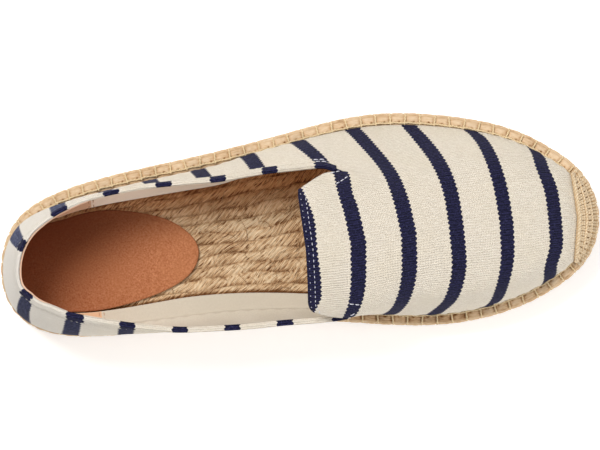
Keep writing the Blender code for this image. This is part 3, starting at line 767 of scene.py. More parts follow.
def stripeAt(s, level):
    # the stripes' own count along the cloth: a whole number in the middle of each stripe
    s, level = np.broadcast_arrays(np.mod(s, 4.0), level)
    shape = s.shape
    s, level = s.ravel(), level.ravel()
    at = stand(s)
    x = alongHeel(s, skin(s, level)[:, 0])
    toe = (s > 2) & (s < 3)
    level = np.where(toe, 2 - (2 - level) * np.abs(at.wayY), np.minimum(level, 2.0))
    count = []
    for table in (stripesOuter, stripesInner):
        found = [through(row, stripeNumbers, x) for row in table]
        number = overLevels(stripeLevels, found, level, x < shoe["notch"] - 6)
        if table is stripesOuter:      # the tab's stripe doesn't quite meet the side's
            above = smoothStep(0.96, 1.03, level) * (1 - smoothStep(1.0, 1.45, level))
            beside = 1 - smoothStep(4, 12, np.abs(x - canvasPlan["tabLagAt"]))
            number = number - canvasPlan["tabLag"] * above * beside
        gap = np.diff(np.array(table), axis=1)
        below = np.clip(np.floor(number).astype(int) - stripeNumbers[0], 0, gap.shape[1] - 1)
        row = np.interp(level, stripeLevels, range(len(stripeLevels)))
        low = np.floor(row).astype(int)
        high = np.minimum(low + 1, len(table) - 1)
        spacing = gap[low, below] * (1 - row + low) + gap[high, below] * (row - low)
        count.append(evenStripes(number, spacing, 1 + canvasPlan["toeNarrow"] * smoothStep(185, 205, x)))
    return np.where(at.outer, *count).reshape(shape)


def wallSlack(s, x, share):            # mm that the wall stands in or out, up its height
    loose = 0.35 + 0.65 * bell(x - 122, 34)     # most at the waist
    wave = np.sin(x / 5.6 + 2.6 * share + 1.0)
    wave = wave + 0.7 * np.sin(x / 3.4 - 3.5 * share + 9 * np.mod(s, 4.0))
    return canvasPlan["slack"] * wave * loose * math.sin(math.pi * share) ** 1.5


def upFrom(s, levels):     # canvas from its turned-in edge, round the corner and up the wall
    plan, wall, turn = canvasPlan, wallAt(s), shoe["hemTurn"]
    margin = turnedIn(s, wall.x)
    first = turn / wall.height
    rows = []
    for share in np.linspace(1, 0, plan["marginRows"], endpoint=False):
        rows.append(hemPoint(s, turn + (margin - turn) * share, 0.0))
    lead = skin(s, first) - hemPoint(s, 0.0, turn)
    for share in np.linspace(0, 1, plan["cornerRows"], endpoint=False):
        inwards, up = turn * (1 - np.sin(share * np.pi / 2)), turn * (1 - np.cos(share * np.pi / 2))
        rows.append(hemPoint(s, inwards, up) + lead * share**2)
    ripple = np.cos(2 * np.pi * runAt(rows[-1]) / segment) * plan["pucker"]
    count = [np.zeros_like(s) + 0.5] + [stripeAt(s, 0.0)] * (len(rows) - 1)
    for share in np.linspace(0, 1, plan["wallRows"] + 1):
        level = first + (1 - first) * share
        fade = bell(share * wall.height, plan["pulled"]) * smoothStep(0, 0.03, share)
        rows.append(lifted(s, level, wallSlack(s, wall.x, share) - ripple * fade))
        count.append(stripeAt(s, level))
    for level in levels:
        rows.append(skin(s, level))
        count.append(stripeAt(s, level))
    return np.stack(rows, 1), np.stack(count, 1)


def ribRun(spots, zero):   # mm along each column from one of its rows
    step = np.linalg.norm(np.diff(spots, axis=1), axis=2)
    run = np.concatenate([np.zeros((len(spots), 1)), np.cumsum(step, axis=1)], 1)
    return run - run[:, zero][:, None]


def layCanvas(mesh, spots, count, rib):
    layGrid(mesh, spots, np.stack([count * canvasFinish["pitch"], rib], -1))


def layVamp(mesh, notchOuter, notchInner):     # from the inner notch round the toe
    plan = canvasPlan
    s = np.concatenate([
        np.linspace(notchInner, 2, plan["sideColumns"], endpoint=False),
        np.linspace(2, 3, plan["toeColumns"], endpoint=False),
        np.linspace(3, notchOuter, plan["sideColumns"] + 1),
    ])
    spots, count = upFrom(s, 1 + np.arange(1, plan["topRows"] + 1) / plan["topRows"])
    rib = ribRun(spots, -1) * -stand(s).wayY[:, None]
    layCanvas(mesh, spots, count, rib)
    rim = plan["marginRows"] + plan["cornerRows"] + plan["wallRows"]
    return rib[-1, rim], rib[0, rim]


def layQuarters(mesh, notchOuter, notchInner, rims):       # they meet at the back seam
    seam, nudge = 4.5, 1e-9    # the nudge keeps a column on its own side of a seam
    for start, end, sign, rim in (
        (notchOuter, seam, 1, rims[0]), (seam, 4 + notchInner, -1, rims[1]),
    ):
        s = np.linspace(start, end, canvasPlan["rearColumns"] + 1)
        if end != seam:
            s[0] += nudge
        spots, count = upFrom(s, [])
        if end == seam:
            count[-1] = stripeAt(np.full(1, seam - nudge), 0.5)[0]
        layCanvas(mesh, spots, count, ribRun(spots, -1) * -sign + rim)


def layTab(mesh):          # over the instep, from the inner edge to the outer
    plan, notch = canvasPlan, shoe["notch"]
    x = np.linspace(shoe["throat"], notch, plan["tabColumns"] + 1)
    edge = tabLevel(x)[:, None]
    level = edge + (2 - edge) * (np.arange(plan["topRows"] + 1) / plan["topRows"])
    straight = smoothStep(2, 13, notch - x)[:, None]
    read = level + (np.maximum(level, 1.6) - level) * straight     # the hem's stripe lies straight
    halves = []
    for outer in (False, True):
        s = sideOf(x, outer)
        moved = sideOf(tabX(x[:, None], level, outer), outer)
        spots = skin(moved.ravel(), level.ravel()).reshape(*level.shape, 3)
        count = np.stack([stripeAt(s, read[:, k]) for k in range(level.shape[1])], 1)
        pull, levels = plan["cornerPull"][0 if outer else 1]
        count = count + pull * (1 - np.clip((level - 1.3) / levels, 0, 1)) ** 2 * straight
        halves.append((spots, count, ribRun(spots, -1) * (-1 if outer else 1)))
    layCanvas(mesh, *[np.concatenate([a, b[:, -2::-1]], 1) for a, b in zip(*halves)])


def makeUpper():
    mesh = bmesh.new()
    notches = sideOf(shoe["notch"], True), sideOf(shoe["notch"], False)
    rims = layVamp(mesh, *notches)
    layQuarters(mesh, *notches, rims)
    layTab(mesh)
    looks = [stripedCanvas, lining]
    upper = newPiece("canvasUpper", mesh, looks, ["upper"], 0.05)
    thicken(upper, canvasPlan["cloth"], 1)


# collar binding, a narrow tape folded over the rim
bindingPlan = {
    "end": 145.5,          # it stops just short of the notch
    "outside": 2.3,        # mm that show below the rim, outside and inside
    "inside": 1.9,
    "insideHeel": 0.5,
    "full": (0.25, 0.85),  # mm that it stands off inside, on the outer and the inner side
    "gap": 0.06,
    "thick": 0.3,
    "columns": 330,
    "stitch": (1.5, 2.3),  # its length and the step to the next
}
# where the middle of each of the tape's blocks lies, in mm from the heel; the last one on
# the outer side is drawn out long
blocksOuter = (-12.0, 6.4, 30.3, 52.1, 73.8, 96.3, 118.0, 137.6, 147.0, 165.0)
outerNumbers = (0, 1, 2, 3, 4, 5, 6, 6.88, 7.12, 8)
blocksInner = (-13.0, 5.3, 32.7, 53.4, 74.7, 96.3, 118.2, 141.2, 163.0)
innerNumbers = range(9)


def tapeInside(s):         # mm that the tape reaches down inside, less round the heel
    plan = bindingPlan
    return plan["inside"] - (plan["inside"] - plan["insideHeel"]) * roundHeel(s)


def makeBinding():
    plan, mesh = bindingPlan, bmesh.new()
    s = roundBack(plan["end"], plan["columns"] + 1)
    height = wallAt(s).height
    off, cloth = plan["gap"] + plan["thick"], canvasPlan["cloth"]
    over = skin(s, 1.0) - skin(s, 0.98)
    over /= np.linalg.norm(over, axis=1)[:, None]
    out, rimLine = outward(s, 1.0), skin(s, 1.0)
    rows = [lifted(s, 1 - plan["outside"] * (1 - k / 3) / height, off) for k in range(3)]
    full = np.where(stand(s).outer, *plan["full"]) * (1 - roundHeel(s))
    for turn in np.linspace(0, np.pi, 11):
        bulge = full[:, None] * (1 - math.cos(turn)) / 2
        swing = out * (math.cos(turn) * (off + cloth / 2) - cloth / 2 - bulge)
        rows.append(rimLine + swing + over * math.sin(turn) * (off + 0.25))
    for k in (1, 2, 3):
        level = 1 - tapeInside(s) * k / 3 / height
        rows.append(lifted(s, level, -cloth - off - full * (1 - k / 3)))
    spots = np.stack(rows, 1)
    x = alongHeel(np.mod(s, 4.0), stand(s).footX)
    blocks = through(blocksOuter, outerNumbers, x), through(blocksInner, innerNumbers, x)
    count = np.where(stand(s).outer, *blocks)[:, None]
    rib = ribRun(spots, 9) + canvasFinish["tooth"] / 2         # a block is widest on the fold
    layCanvas(mesh, spots, *np.broadcast_arrays(count, rib))
    tape = newPiece("collarBinding", mesh, [bindingTape], ["collar_binding"], 0.01)
    thicken(tape, plan["thick"])


def sewBinding():
    # one row just below the tape and one along its edge inside
    plan, mesh = bindingPlan, bmesh.new()
    s = roundBack(plan["end"], 1200)
    inside = -canvasPlan["cloth"] - plan["gap"] - plan["thick"]
    for down, height, side, radius in (
        (plan["outside"] + 0.45, 0.02, 1, 0.13), (tapeInside(s) - 0.4, inside, -1, 0.15),
    ):
        level = 1 - down / wallAt(s).height
        sewRow(mesh, lifted(s, level, height), side * outward(s, level), *plan["stitch"], radius)
    newPiece("bindingStitches", mesh, [tapeThread], doubles=0.01)


# stitches of the throat's hem and the bars that hold the notch
Bar = namedtuple("Bar", "outer fromX fromLevel toX toLevel")
hemPlan = {
    # mm from the edge, stitch, step to the next and radius
    "rows": ((0.9, 0.6, 3.1, 0.16), (2.65, 1.5, 2.3, 0.17)),
    "bars": (
        Bar(True, 143.0, 1.12, 147.6, 1.0), Bar(True, 144.6, 1.27, 149.9, 1.12),
        Bar(True, 136.2, 0.885, 142.0, 0.87), Bar(True, 137.0, 0.925, 142.5, 0.915),
        Bar(False, 145.2, 1.36, 149.8, 1.30), Bar(False, 145.2, 1.14, 148.2, 1.17),
    ),
    "barRow": (2.3, 2.5, 0.27, 0.02),      # stitch, step, radius and start
}


def onCloth(x, level, outer, height):      # a line on one side, and the way its cloth faces
    s = sideOf(np.where(level > 1, tabX(x, level, outer), x), outer)
    return lifted(s, level, height), np.broadcast_to(outward(s, level), (len(level), 3))


def sewHem():
    mesh = bmesh.new()
    for inwards, *stitch in hemPlan["rows"]:
        x = shoe["throat"] + inwards
        level = np.linspace(tabLevel(x) + 0.012, 2, 90)
        halves = onCloth(x, level, False, 0.03), onCloth(x, level[-2::-1], True, 0.03)
        sewRow(mesh, *[np.vstack(both) for both in zip(*halves)], *stitch)
    for bar in hemPlan["bars"]:
        x, level = np.linspace(bar.fromX, bar.toX, 24), np.linspace(bar.fromLevel, bar.toLevel, 24)
        sewRow(mesh, *onCloth(x, level, bar.outer, 0.14), *hemPlan["barRow"])
    newPiece("hemStitches", mesh, [hemThread], doubles=0.01)


# jute rope: the ledge and sides of the sole
ropePlan = {
    "courses": 3,
    "rowsEach": 8,         # mesh rows to one course
    "columnsEach": 10,     # and columns to one blanket stitch
    "groove": 1.0,
    "plait": 4.6,          # mm from one lobe of the plait to the next
    "lobe": 0.38,
    "pull": 0.55,          # mm that each blanket stitch bites in
    "bite": 1.0,           # mm along the edge that it pulls with it
    "ledge": (1.7, 2.15, 2.6, 3.05, 3.5, 3.95, 4.4, 5.2, 8.0),     # mm in from the edge to each row
    "shade": 0.36,         # how much painted shade darkens the ledge at the waist on the inner side, under the upper
    "seed": 7,
}


def makeRopeSide():
    plan, mesh = ropePlan, bmesh.new()
    run = np.arange(segments * plan["columnsEach"] + 1) * segment / plan["columnsEach"]
    phase = np.mod(run / segment, 1.0)
    bite = bell(np.minimum(phase, 1 - phase) * segment, plan["bite"])
    pillow = 1 - bite
    rng = np.random.default_rng(plan["seed"])
    place = np.floor(run / segment).astype(int) % segments
    pitAt, pitDeep, pitTwo = (
        rng.uniform(low, high, segments)[place] for low, high in ((0.25, 0.5), (0.35, 1.0), (0.6, 0.8))
    )
    toneOf = rng.normal(0.0, 0.05, segments)[place]
    x, y, _ = edgeSpot(run, 1.0).T
    # painted shade: the upper overhangs the ledge at the waist on the inner side
    waist = smoothStep(5, 20, -y) * smoothStep(95, 125, x) * (1 - smoothStep(185, 230, x))
    rows, depth, around = [], [], []

    def addRow(inwards, height, tone, far):
        rows.append(edgeSpot(run, inwards, height))
        depth.append(tone + toneOf)
        around.append(np.full_like(run, far))

    # up the side, one plaited course on another
    tall = footbed(x) - (spring(x) + shoe["rubber"] + shoe["gap"])
    addRow(4.0, -tall, 0.1 + 0 * run, -3.0)        # under the lowest course, darkened as painted shade
    for course in range(plan["courses"]):
        top = course == plan["courses"] - 1
        lean = 1 if course % 2 else -1
        for frac in np.arange(plan["rowsEach"] + top) / plan["rowsEach"]:
            share = (course + frac) / plan["courses"]
            bulge = math.sin(math.pi * frac) ** 0.6
            turns = run / plan["plait"] + lean * frac * 0.9 + course * 0.37
            strand = np.abs(np.sin(np.pi * turns))
            out = plan["lobe"] * (strand - 0.5) * bulge
            if top:
                out = out * 0.5 - plan["pull"] * bite * bulge
            edge = plan["groove"] * (1.3 if top and frac == 1 else 1.0)
            # painted shade: darker in the grooves between courses and between the plait's lobes
            tone = 0.3 + 0.4 * bulge * strand**0.6 + (0.2 if top else 0.0)
            addRow(edge * (1 - bulge) - out, (share - 1) * tall, tone, share * 18)

    # over the ledge, drawn down by each stitch, with a pit or two between stitches
    for inwards in plan["ledge"]:
        hump = math.sin(math.pi * min(max((inwards - 1.2) / 3.6, 0), 1)) ** 0.5
        pit = bell((phase - pitAt) * segment, 0.5) * bell(inwards - 3.9, 0.5) * pitDeep
        pit = pit + 0.6 * bell((phase - pitTwo) * segment, 0.45) * bell(inwards - 4.1, 0.4)
        height = -0.25 + 0.6 * pillow * hump - 0.8 * pit
        height = height if inwards < 4.6 else 0 * run - 0.25 * (inwards - 4.4)
        # painted shade where each stitch bites in and in the pits, and at the inner waist
        tone = 0.68 + 0.16 * pillow * hump - 0.3 * bite - 1.6 * pit - plan["shade"] * waist
        addRow(inwards, height, tone, 18 + inwards)
    spots = np.stack(rows, 1)
    cloth = np.stack([np.broadcast_to(run[:, None], spots.shape[:2]), np.stack(around, 1)], -1)
    layGrid(mesh, spots, cloth, np.stack(depth, 1))
    newPiece("ropeSide", mesh, [juteRope], ["rope_sole"])


# the rope's coils under the foot: rows of three-ply cord whose plies run aslant
footbedPlan = {
    "rows": 13,
    "row": 5.3,            # mm across one row
    "hump": 0.42,
    "inset": 6.0,
    "shown": (42.0, 152.0),
    "columns": (14, 400, 60),      # before, along and after the stretch that shows
    "each": 9,             # mesh rows to one row of cord
    "strand": 2.6,         # mm from one ply of the twist to the next
    "slant": 1.1,          # mm along for each mm across
    "bite": 0.5,           # mm that the plies are parted
    "edgeShadeAndGlue": ((True, 0.3, -0.4), (False, 0.85, 0.4)),       # painted contact shade, with some glue stain, along the canvas's edge: per side, how dark, and mm off its line
    "seed": 3,
}


def makeFootbed():
    plan, mesh = footbedPlan, bmesh.new()
    outer, inner = bothSides(plan["inset"])
    first, last = plan["shown"]
    ends = (outer[0, 0] + 0.4, first, last, outer[-1, 0] - 0.4)
    parts = [np.linspace(*span, endpoint=False) for span in zip(ends, ends[1:], plan["columns"])]
    x = np.concatenate([*parts, ends[-1:]])[:, None]
    top, bottom = np.interp(x, *outer.T), np.interp(x, *inner.T)
    share = np.arange(plan["rows"] * plan["each"] + 1)[None] / (plan["rows"] * plan["each"])

    # the rows wander a little, and the plies of each are laid a little differently
    drift = 0.013 * np.sin(2 * np.pi * x / 47.0) * np.sin(9 * share)
    drift = drift + 0.009 * np.sin(2 * np.pi * x / 21.0 + 1.0) * np.sin(23 * share + 2)
    y = bottom + (top - bottom) * (share + drift * np.sin(np.pi * share))
    row = np.minimum(np.floor(share * plan["rows"] + 1e-6), plan["rows"] - 1)
    within = share * plan["rows"] - row
    bow = np.sin(np.pi * within) ** 0.6
    rng = np.random.default_rng(plan["seed"])
    shift = rng.uniform(0, 2 * np.pi, plan["rows"])[row.astype(int)]
    slant = plan["slant"] * (1 + 0.2 * np.sin(x / 17.0 + shift))
    lay = (x - slant * (within - 0.5) * plan["row"]) / plan["strand"] + shift
    lay = lay + 0.18 * np.sin(2 * np.pi * x / 13.0 + 2 * shift)
    lay = lay + 0.12 * np.sin(x / 2.3 + 7 * shift) * np.sin(2.2 * within + shift)
    ply = np.abs(np.sin(np.pi * lay)) ** 0.7
    near = smoothStep(first - 3, first + 2, x) * (1 - smoothStep(last - 4, last, x))
    rough = 0.13 * np.sin(x / 3.1 + 5 * shift) * np.sin(x / 1.3 + shift) * near
    z = footbed(x) - plan["hump"] * (1 - bow) - plan["bite"] * (1 - ply) * near + rough - 0.1
    spots = np.stack(np.broadcast_arrays(x, y, z), -1)
    cloth = np.stack(np.broadcast_arrays(lay * plan["strand"], share * plan["rows"] * plan["row"]), -1)

    # each ply has its own tone, and the seams between rows and the gaps between plies are darkened, here
    # and there, as painted shade
    each = np.mod(np.sin(np.floor(lay) * 12.99 + row * 78.23) * 4375.8, 1.0)
    broken = 0.6 + 0.4 * np.sin(x / 2.7 + 4 * shift) * np.sin(x / 7.1 + shift)
    depth = 0.88 - 0.62 * (1 - bow) * broken - 0.3 * (1 - ply) * near + 0.22 * (each - 0.5) * near
    depth = depth + 0.05 * np.sin(1.7 * shift) + 0.08 * np.sin(x / 6.0 + 3 * shift)
    for outer, dark, aside in plan["edgeShadeAndGlue"]:        # painted contact shade and glue stain along the canvas's edge
        s = sideOf(np.clip(x, shoe["heelCentre"], shoe["toeCentre"]), outer)
        edge = hemPoint(s, turnedIn(s, x), 0.0)[..., 1]
        depth = depth - dark * bell(y - edge - aside, 0.8)
    layGrid(mesh, spots, cloth, np.broadcast_to(depth, y.shape))
    newPiece("ropeFootbed", mesh, [footbedRope], ["rope_sole"])


# a few loose ends of jute that have worked out of the cord
fibrePlan = {
    "count": 60,
    "x": (72, 128),
    "y": (-24, 17),
    "turn": (-0.2, 2.2),
    "bend": 0.16,
    "long": (4, 9),
    "radius": (0.07, 0.13),
    "seed": 21,
}


def strewFibres():
    plan, mesh = fibrePlan, bmesh.new()
    rng = np.random.default_rng(plan["seed"])
    for _ in range(plan["count"]):
        x, y, turn = (rng.uniform(*plan[name]) for name in ("x", "y", "turn"))
        bend, size = rng.normal(0, plan["bend"]), rng.uniform(*plan["long"])
        run = np.linspace(0, size, 9)
        aim = turn + bend * run
        flat = np.cumsum(np.stack([np.cos(aim), np.sin(aim)], -1) * size / 8, 0) + (x, y)
        rise = 0.12 + 0.5 * np.sin(np.pi * run / size)
        path = np.stack([flat[:, 0], flat[:, 1], footbed(flat[:, 0]) + rise], -1)
        sewThread(mesh, path, (0, 0, 1), rng.uniform(*plan["radius"]), 4)
    newPiece("looseFibres", mesh, [fibreEnd], doubles=0.01)


# blanket stitch, and the chain that it is worked over
blanketPlan = {
    "radius": 0.42,
    "bar": (               # mm in from the edge and above the rope's top, from the canvas down
        (5.4, 1.3), (4.9, 0.95), (4.3, 0.7), (3.6, 0.5), (2.6, 0.42), (1.7, 0.3), (1.0, -0.15),
        (0.5, -0.9), (0.35, -2.2), (0.3, -3.6), (0.5, -5.0), (1.1, -5.8),
    ),
    "slant": 0.12,
    "seed": 11,
    "chainIn": 4.25,       # mm from the edge to the chain
    "swing": 0.12,
}


def sewBlanket():
    plan, mesh = blanketPlan, bmesh.new()
    inwards, height = np.array(plan["bar"]).T
    rng = np.random.default_rng(plan["seed"])
    for k in range(segments):
        run = k * segment + rng.normal(0, plan["slant"]) * (inwards - 3)
        path = evenly(edgeSpot(run, inwards, height), 0.9)
        out = edgeSpot(k * segment, -1.0)[:2] - edgeSpot(k * segment, 0.0)[:2]
        sewThread(mesh, path, (out[0] * 0.7, out[1] * 0.7, 0.7), plan["radius"])
    newPiece("blanketStitch", mesh, [juteThread], doubles=0.01)


def sewChain():
    plan, mesh = blanketPlan, bmesh.new()
    run = np.linspace(0, edgeLength, segments * 8 + 1)
    turn = 2 * np.pi * run / segment
    path = edgeSpot(run, plan["chainIn"] + np.sin(turn) * plan["swing"], 0.5 + 0.15 * np.cos(turn))
    path[-1] = path[0]
    twist = 2 * np.pi / segment * 4
    sewThread(mesh, path, (0, 0, 1), plan["radius"], 6, 2, 0.25, twist, taper=False)
    newPiece("chainStitch", mesh, [juteThread], doubles=0.03)


# toe guard: pairs of threads sewn lengthwise over the toe and held by rows across it
guardPlan = {
    "from": -43.0,         # degrees round the toe
    "to": 39.0,
    "back": (241.8, 244.3, 243.8),     # where its back edge lies at one end, the middle and the other
    "low": 2.6,            # mm above the footbed where it leaves the canvas
    "ledge": ((3.0, 0.0), (1.8, 0.5), (1.0, 1.5), (0.75, 3.0), (0.8, 4.4)),    # mm from the edge, down
    "pairs": 17,
    "radius": 0.58,
    "apart": 0.52,         # from the middle of a pair to each of its threads
    "lift": 0.95,          # of the threads off the canvas, and of the webbing under them
    "liftBack": 0.72,
    "rows": ((0.7, 0.75), (5.0, 0.5), (9.2, 0.5)),     # mm from the back edge to each row, its radius
    "pits": (2.9, 7.2),    # mm from the back edge to the holes between the rows
    "seed": 17,
}


def levelAt(s, x):         # level at which a toe column's skin is at x
    low, high = np.zeros_like(s), np.full_like(s, 1.9)
    for _ in range(30):
        middle = (low + high) / 2
        ahead = skin(s, middle)[:, 0] > x
        low, high = np.where(ahead, middle, low), np.where(ahead, high, middle)
    return low


def guardPath(s, height):
    # from the guard's back edge down the canvas and out over the ledge
    plan, s = guardPlan, np.full(1, s)
    low = plan["low"] / wallAt(s).height
    places = (plan["from"], (plan["from"] + plan["to"]) / 2, plan["to"])
    edge = np.interp((s - 2.5) * 180, places, plan["back"])
    back = np.maximum(levelAt(s, edge), low + 0.1)
    points = [lifted(s, back + (low - back) * k, height)[0] for k in np.linspace(0, 1, 9)]
    points.append(hemPoint(s, -height - 0.5, height + 0.4)[0])
    for inwards, drop in plan["ledge"]:
        points.append(hemPoint(s, inwards - shoe["ledge"], height - drop)[0])
    return evenly(points, 0.6)


def makeGuard():
    plan, mesh = guardPlan, bmesh.new()
    crossings = {row: [] for row in plan["rows"]}
    rng = np.random.default_rng(plan["seed"])
    for turn in np.linspace(plan["from"] + 1.4, plan["to"] - 1.4, plan["pairs"]):
        s = 2.5 + turn / 180
        path, aside = guardPath(s, plan["lift"]), guardPath(s + 0.004, plan["lift"])
        count = min(len(path), len(aside))
        path, aside = path[:count], aside[:count] - path[:count]
        aside /= np.linalg.norm(aside, axis=1)[:, None]
        run = runAlong(path)
        pit = np.clip(sum(bell(run - at, 0.8) for at in plan["pits"]), 0, 1)
        apart = plan["apart"] * (1.12 - rng.uniform(0.15, 0.5) * pit)[:, None]
        up = outward(np.full(1, s), 1.0)[0] * 0.6 + np.array([0, 0, 0.6])
        for side in (-1, 1):
            sewThread(mesh, path + side * apart * aside, up, plan["radius"], 6, 2, 0.16, 3.0)
        for row, spots in crossings.items():
            spots.append(readPath(row[0], run, path))
    up, step = np.array([0.45, 0, 0.9]), 0.55
    for (_, radius), spots in crossings.items():
        path = evenly(np.array(spots) + up * 0.42, step)
        wave = np.sin(2 * np.pi * np.arange(len(path)) * step / 2.1)[:, None]
        sewThread(mesh, path + up * 0.14 * wave, up, radius, 8, 2, 0.2, 3.0)
    newPiece("toeGuard", mesh, [guardThread], ["toe_guard"], 0.01)


def makeGuardBack():
    plan, mesh, paths, depth = guardPlan, bmesh.new(), [], []
    for turn in np.linspace(plan["from"] - 0.5, plan["to"] + 0.5, 41):
        path = guardPath(2.5 + turn / 180, plan["liftBack"])
        run = runAlong(path)
        at = np.linspace(0, run[-1], 36)
        paths.append(readPath(at, run, path))
        # painted shade in the holes between the rows
        depth.append(0.75 - 0.6 * sum(bell(at - pit, 0.9) for pit in plan["pits"]))
    spots = np.stack(paths)
    layGrid(mesh, spots, spots[..., :2], np.stack(depth))
    back = newPiece("toeGuardBack", mesh, [guardBack], ["toe_guard"], 0.01, flip=True)
    thicken(back, 0.5)


# heel pad
padPlan = {
    "side": 34.0,          # where its own front takes over from the line of the canvas
    "clear": 0.5,          # mm from the canvas, and this much more on the outer side
    "clearOuter": 1.1,
    "crown": 0.3,
    "edge": ((0.97, 0.0), (0.997, 0.2), (1.0, 0.55), (0.999, 0.85), (0.993, 1.12), (0.98, 1.27)),
    "thick": 1.3,
}
padFront = (               # from its outer side round the front to its inner one
    (50.0, 15.9), (60.5, 13.9), (70.7, 10.6), (79.4, 4.9), (84.6, -4.0), (81.8, -12.2),
    (73.2, -18.4), (61.5, -22.4), (47.0, -25.2),
)


def makePad():
    plan, mesh = padPlan, bmesh.new()
    start, end = sideOf(plan["side"], True), sideOf(plan["side"], False)
    s = np.concatenate([[start], np.linspace(0, 1, 9), [end]])
    clear = plan["clear"] + plan["clearOuter"] * np.where(s > 3, 1, np.clip(1 - s / 0.4, 0, 1))
    edge = hemPoint(s, turnedIn(s, wallAt(s).x) + clear, 0.0)[:, :2]
    rim = closedSpline([*edge, *padFront[::-1]], 8)
    rim = np.vstack([rim, rim[:1]])
    low, high = rim[:, 0].min() + 24, rim[:, 0].max() - 26
    spineX = np.clip(rim[:, 0], low, high)
    spine = np.stack([spineX, np.interp(spineX, (low, high), (-4.6, -5.4))], 1)
    top = [(k, plan["thick"] + plan["crown"] * (1 - k)) for k in np.linspace(0.955, 0, 22)]
    rows = []
    for size, up in [*plan["edge"], *top]:
        flat = spine + (rim - spine) * size
        rows.append(np.stack([flat[:, 0], flat[:, 1], footbed(flat[:, 0]) + shoe["gap"] + up], -1))
    spots = np.stack(rows, 1)
    layGrid(mesh, spots, spots[..., :2])
    newPiece("heelPad", mesh, [suede], ["heel_sock"], 0.05)


# pigskin patch inside the heel, with its folded top edge and the two rows that close each end
patchPlan = {
    "reach": 43.0,
    "levels": (0.06, 0.975),
    "thick": 0.35,
    "gap": 0.05,
    "fold": 0.5,
    "seams": (40.2, 42.2),
    "seam": (1.6, 2.2, 0.17),      # stitch, step and radius
}


def makePatch():
    plan, mesh = patchPlan, bmesh.new()
    s = roundBack(plan["reach"], 121)
    inside = -canvasPlan["cloth"] - plan["thick"] - plan["gap"]
    spots = np.stack([lifted(s, level, inside) for level in np.linspace(*plan["levels"], 25)], 1)
    layGrid(mesh, spots, spots[..., :2])
    patch = newPiece("heelPatch", mesh, [pigskin], doubles=0, flip=True)
    thicken(patch, plan["thick"])


def sewPatch():
    plan, mesh, cloth = patchPlan, bmesh.new(), canvasPlan["cloth"]
    s = roundBack(plan["reach"], 160)
    level = 1 - plan["fold"] / wallAt(s).height
    edge = lifted(s, level, -cloth - 0.6 - 0.4 * roundHeel(s))
    sewThread(mesh, edge, -outward(s, level), 0.5)
    newPiece("patchFold", mesh, [pigskin], doubles=0.01)
    mesh, count = bmesh.new(), 40
    level, up = np.linspace(0.05, 0.9, count), np.tile((0.0, 0.0, 1.0), (count, 1))
    for outer in (True, False):
        for x in plan["seams"]:
            s = np.full(count, sideOf(x, outer))
            sewRow(mesh, lifted(s, level, -cloth - 0.45), -outward(s, level), *plan["seam"])
            sewRow(mesh, hemPoint(s, np.linspace(1.4, 6.5, count), cloth + 0.05), up, *plan["seam"])
    newPiece("patchSeams", mesh, [patchThread], doubles=0.01)


# materials: a name, then colours from the hollows to the top, where these aren't listed above; the
# jute's darker hollow colours are painted shade
stripedCanvas = wovenCanvas("striped cotton canvas", 0.5)      # with wear at the heel
bindingTape = wovenCanvas("canvas tape")
lining = liningCloth()
juteRope = juteFinish("plaited jute", "#8a5c32", "#cfae88", "#e5cdae", (350.0, 1500.0, 1.0))
footbedRope = juteFinish(
    "coiled jute", "#6b4527", "#c9a47c", "#ecd7b6", (1900.0, 420.0, 1.0), footbedPlan["strand"] / 3,
    # painted shade: warmer and darker toward the outer side, where the wall shades the footbed
    ((0.0, 1.0, 0.0), 0.006, 0.02, "#ffdac0"),
)
guardBack = juteFinish("jute webbing", "#8a6544", "#bf9e76", "#d5bb95", (900.0, 900.0, 1.0))
fibreEnd = threadFinish("jute fibre", "#7a5432", "#c9a176")
juteThread = threadFinish("jute thread", "#cdae80", "#ecd8b2")
guardThread = threadFinish("waxed jute thread", "#c7a981", "#e6d2b3")
tapeThread = threadFinish("cotton thread", "#cfc6b4", "#f4eee0")
hemThread = threadFinish("white cotton thread", "#b9b8c9", "#e9e8f0")
patchThread = threadFinish("tan cotton thread", "#b98f72", "#d8b294")
suede = suedeFinish()
pigskin = pigskinFinish("#ddb396", "#ebc4aa")
rubber = rubberFinish("#6f5032", "#8f6a44", "#aa8257")

print("upper")
makeUpper()
makeBinding()
sewBinding()
sewHem()
makePatch()
sewPatch()
print("sole")
makeRopeSide()
makeFootbed()
strewFibres()
sewBlanket()
sewChain()
makeGuard()
makeGuardBack()
makePad()
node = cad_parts["outsole"]
node.data.materials.clear()
node.data.materials.append(rubber)

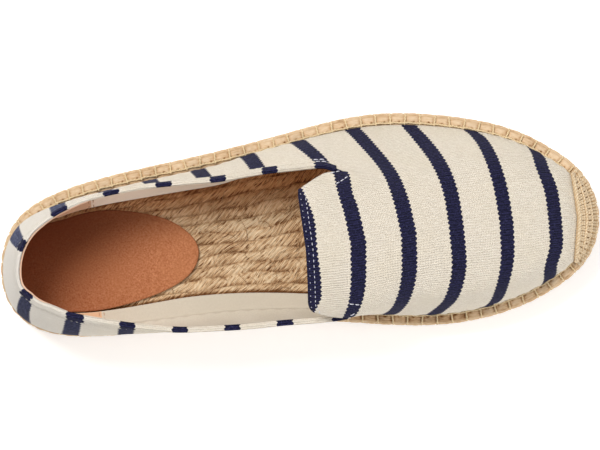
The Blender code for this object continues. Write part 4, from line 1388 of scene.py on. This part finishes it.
print("floor, lights and camera")
studio = {
    "height": 1.4,         # metres from floor to camera
    "lens": 195.23,
    "turn": -5.5,
    "aim": (0.00079, 0.00201),
    "floor": ("#f8f7f5", "#fbfaf8"),
    "glow": 0.4,           # painted light: the paper glows though it is no lamp, which keeps it white and pales the shoe's shadow
    "sky": 0.17,
    "lights": (            # name, place and size in metres, power and colour
        ("key", (-0.4, 0.62, 1.3), 0.6, 17.6, "#fffdfa"),
        ("fill", (0.35, -1.4, 0.85), 1.0, 6.4, "#ffffff"),
        ("toe", (1.25, -0.35, 0.85), 0.9, 7.5, "#ffffff"),
        ("top", (0.1, 0.0, 1.9), 1.6, 4.0, "#ffffff"),
    ),
}


def makeFloor():
    # smooth white paper, hardly uneven
    mesh = bmesh.new()
    bmesh.ops.create_grid(mesh, x_segments=1, y_segments=1, size=2.5)
    data = bpy.data.meshes.new("floor")
    mesh.to_mesh(data)
    mesh.free()
    look, add = newMaterial("matt paper", 0.95, 0.0, 0.1)
    shader = look.node_tree.nodes["Principled BSDF"]
    # painted light: the paper glows
    shader.inputs["Emission Strength"].default_value = studio["glow"]
    fine = add("TexNoise", [add("TexCoord", output="Object"), 2.0])
    dull, bright = studio["floor"]
    colour = tintOver(add, dull, fine, 0.3, 0.7, bright)
    data.materials.append(finishSurface(look, colour, fine, 0.1, 0.1))
    floor = bpy.data.objects.new("floor", data)
    bpy.context.scene.collection.objects.link(floor)


def addLight(name, place, size, power, colour):        # a soft round light aimed at the shoe
    data = bpy.data.lights.new(name, "AREA")
    data.shape, data.size, data.energy = "DISK", size, power
    data.color = hexColour(colour)[:3]
    light = bpy.data.objects.new(name, data)
    light.location = place
    light.rotation_euler = (-Vector(place)).to_track_quat("-Z", "Y").to_euler()
    bpy.context.scene.collection.objects.link(light)


makeFloor()
for light in studio["lights"]:
    addLight(*light)

scene = bpy.context.scene
scene.view_settings.view_transform = "Standard"
scene.world = scene.world or bpy.data.worlds.new("studio")
scene.world.use_nodes = True
sky = scene.world.node_tree.nodes["Background"]
sky.inputs["Color"].default_value = hexColour("#ffffff")
sky.inputs["Strength"].default_value = studio["sky"]

cameraData = bpy.data.cameras.new("camera")
cameraData.lens, cameraData.sensor_width = studio["lens"], 36
camera = bpy.data.objects.new("camera", cameraData)
camera.location = (*studio["aim"], studio["height"])
camera.rotation_euler = (0, 0, math.radians(studio["turn"]))
scene.collection.objects.link(camera)
scene.camera = camera

print("pieces made")
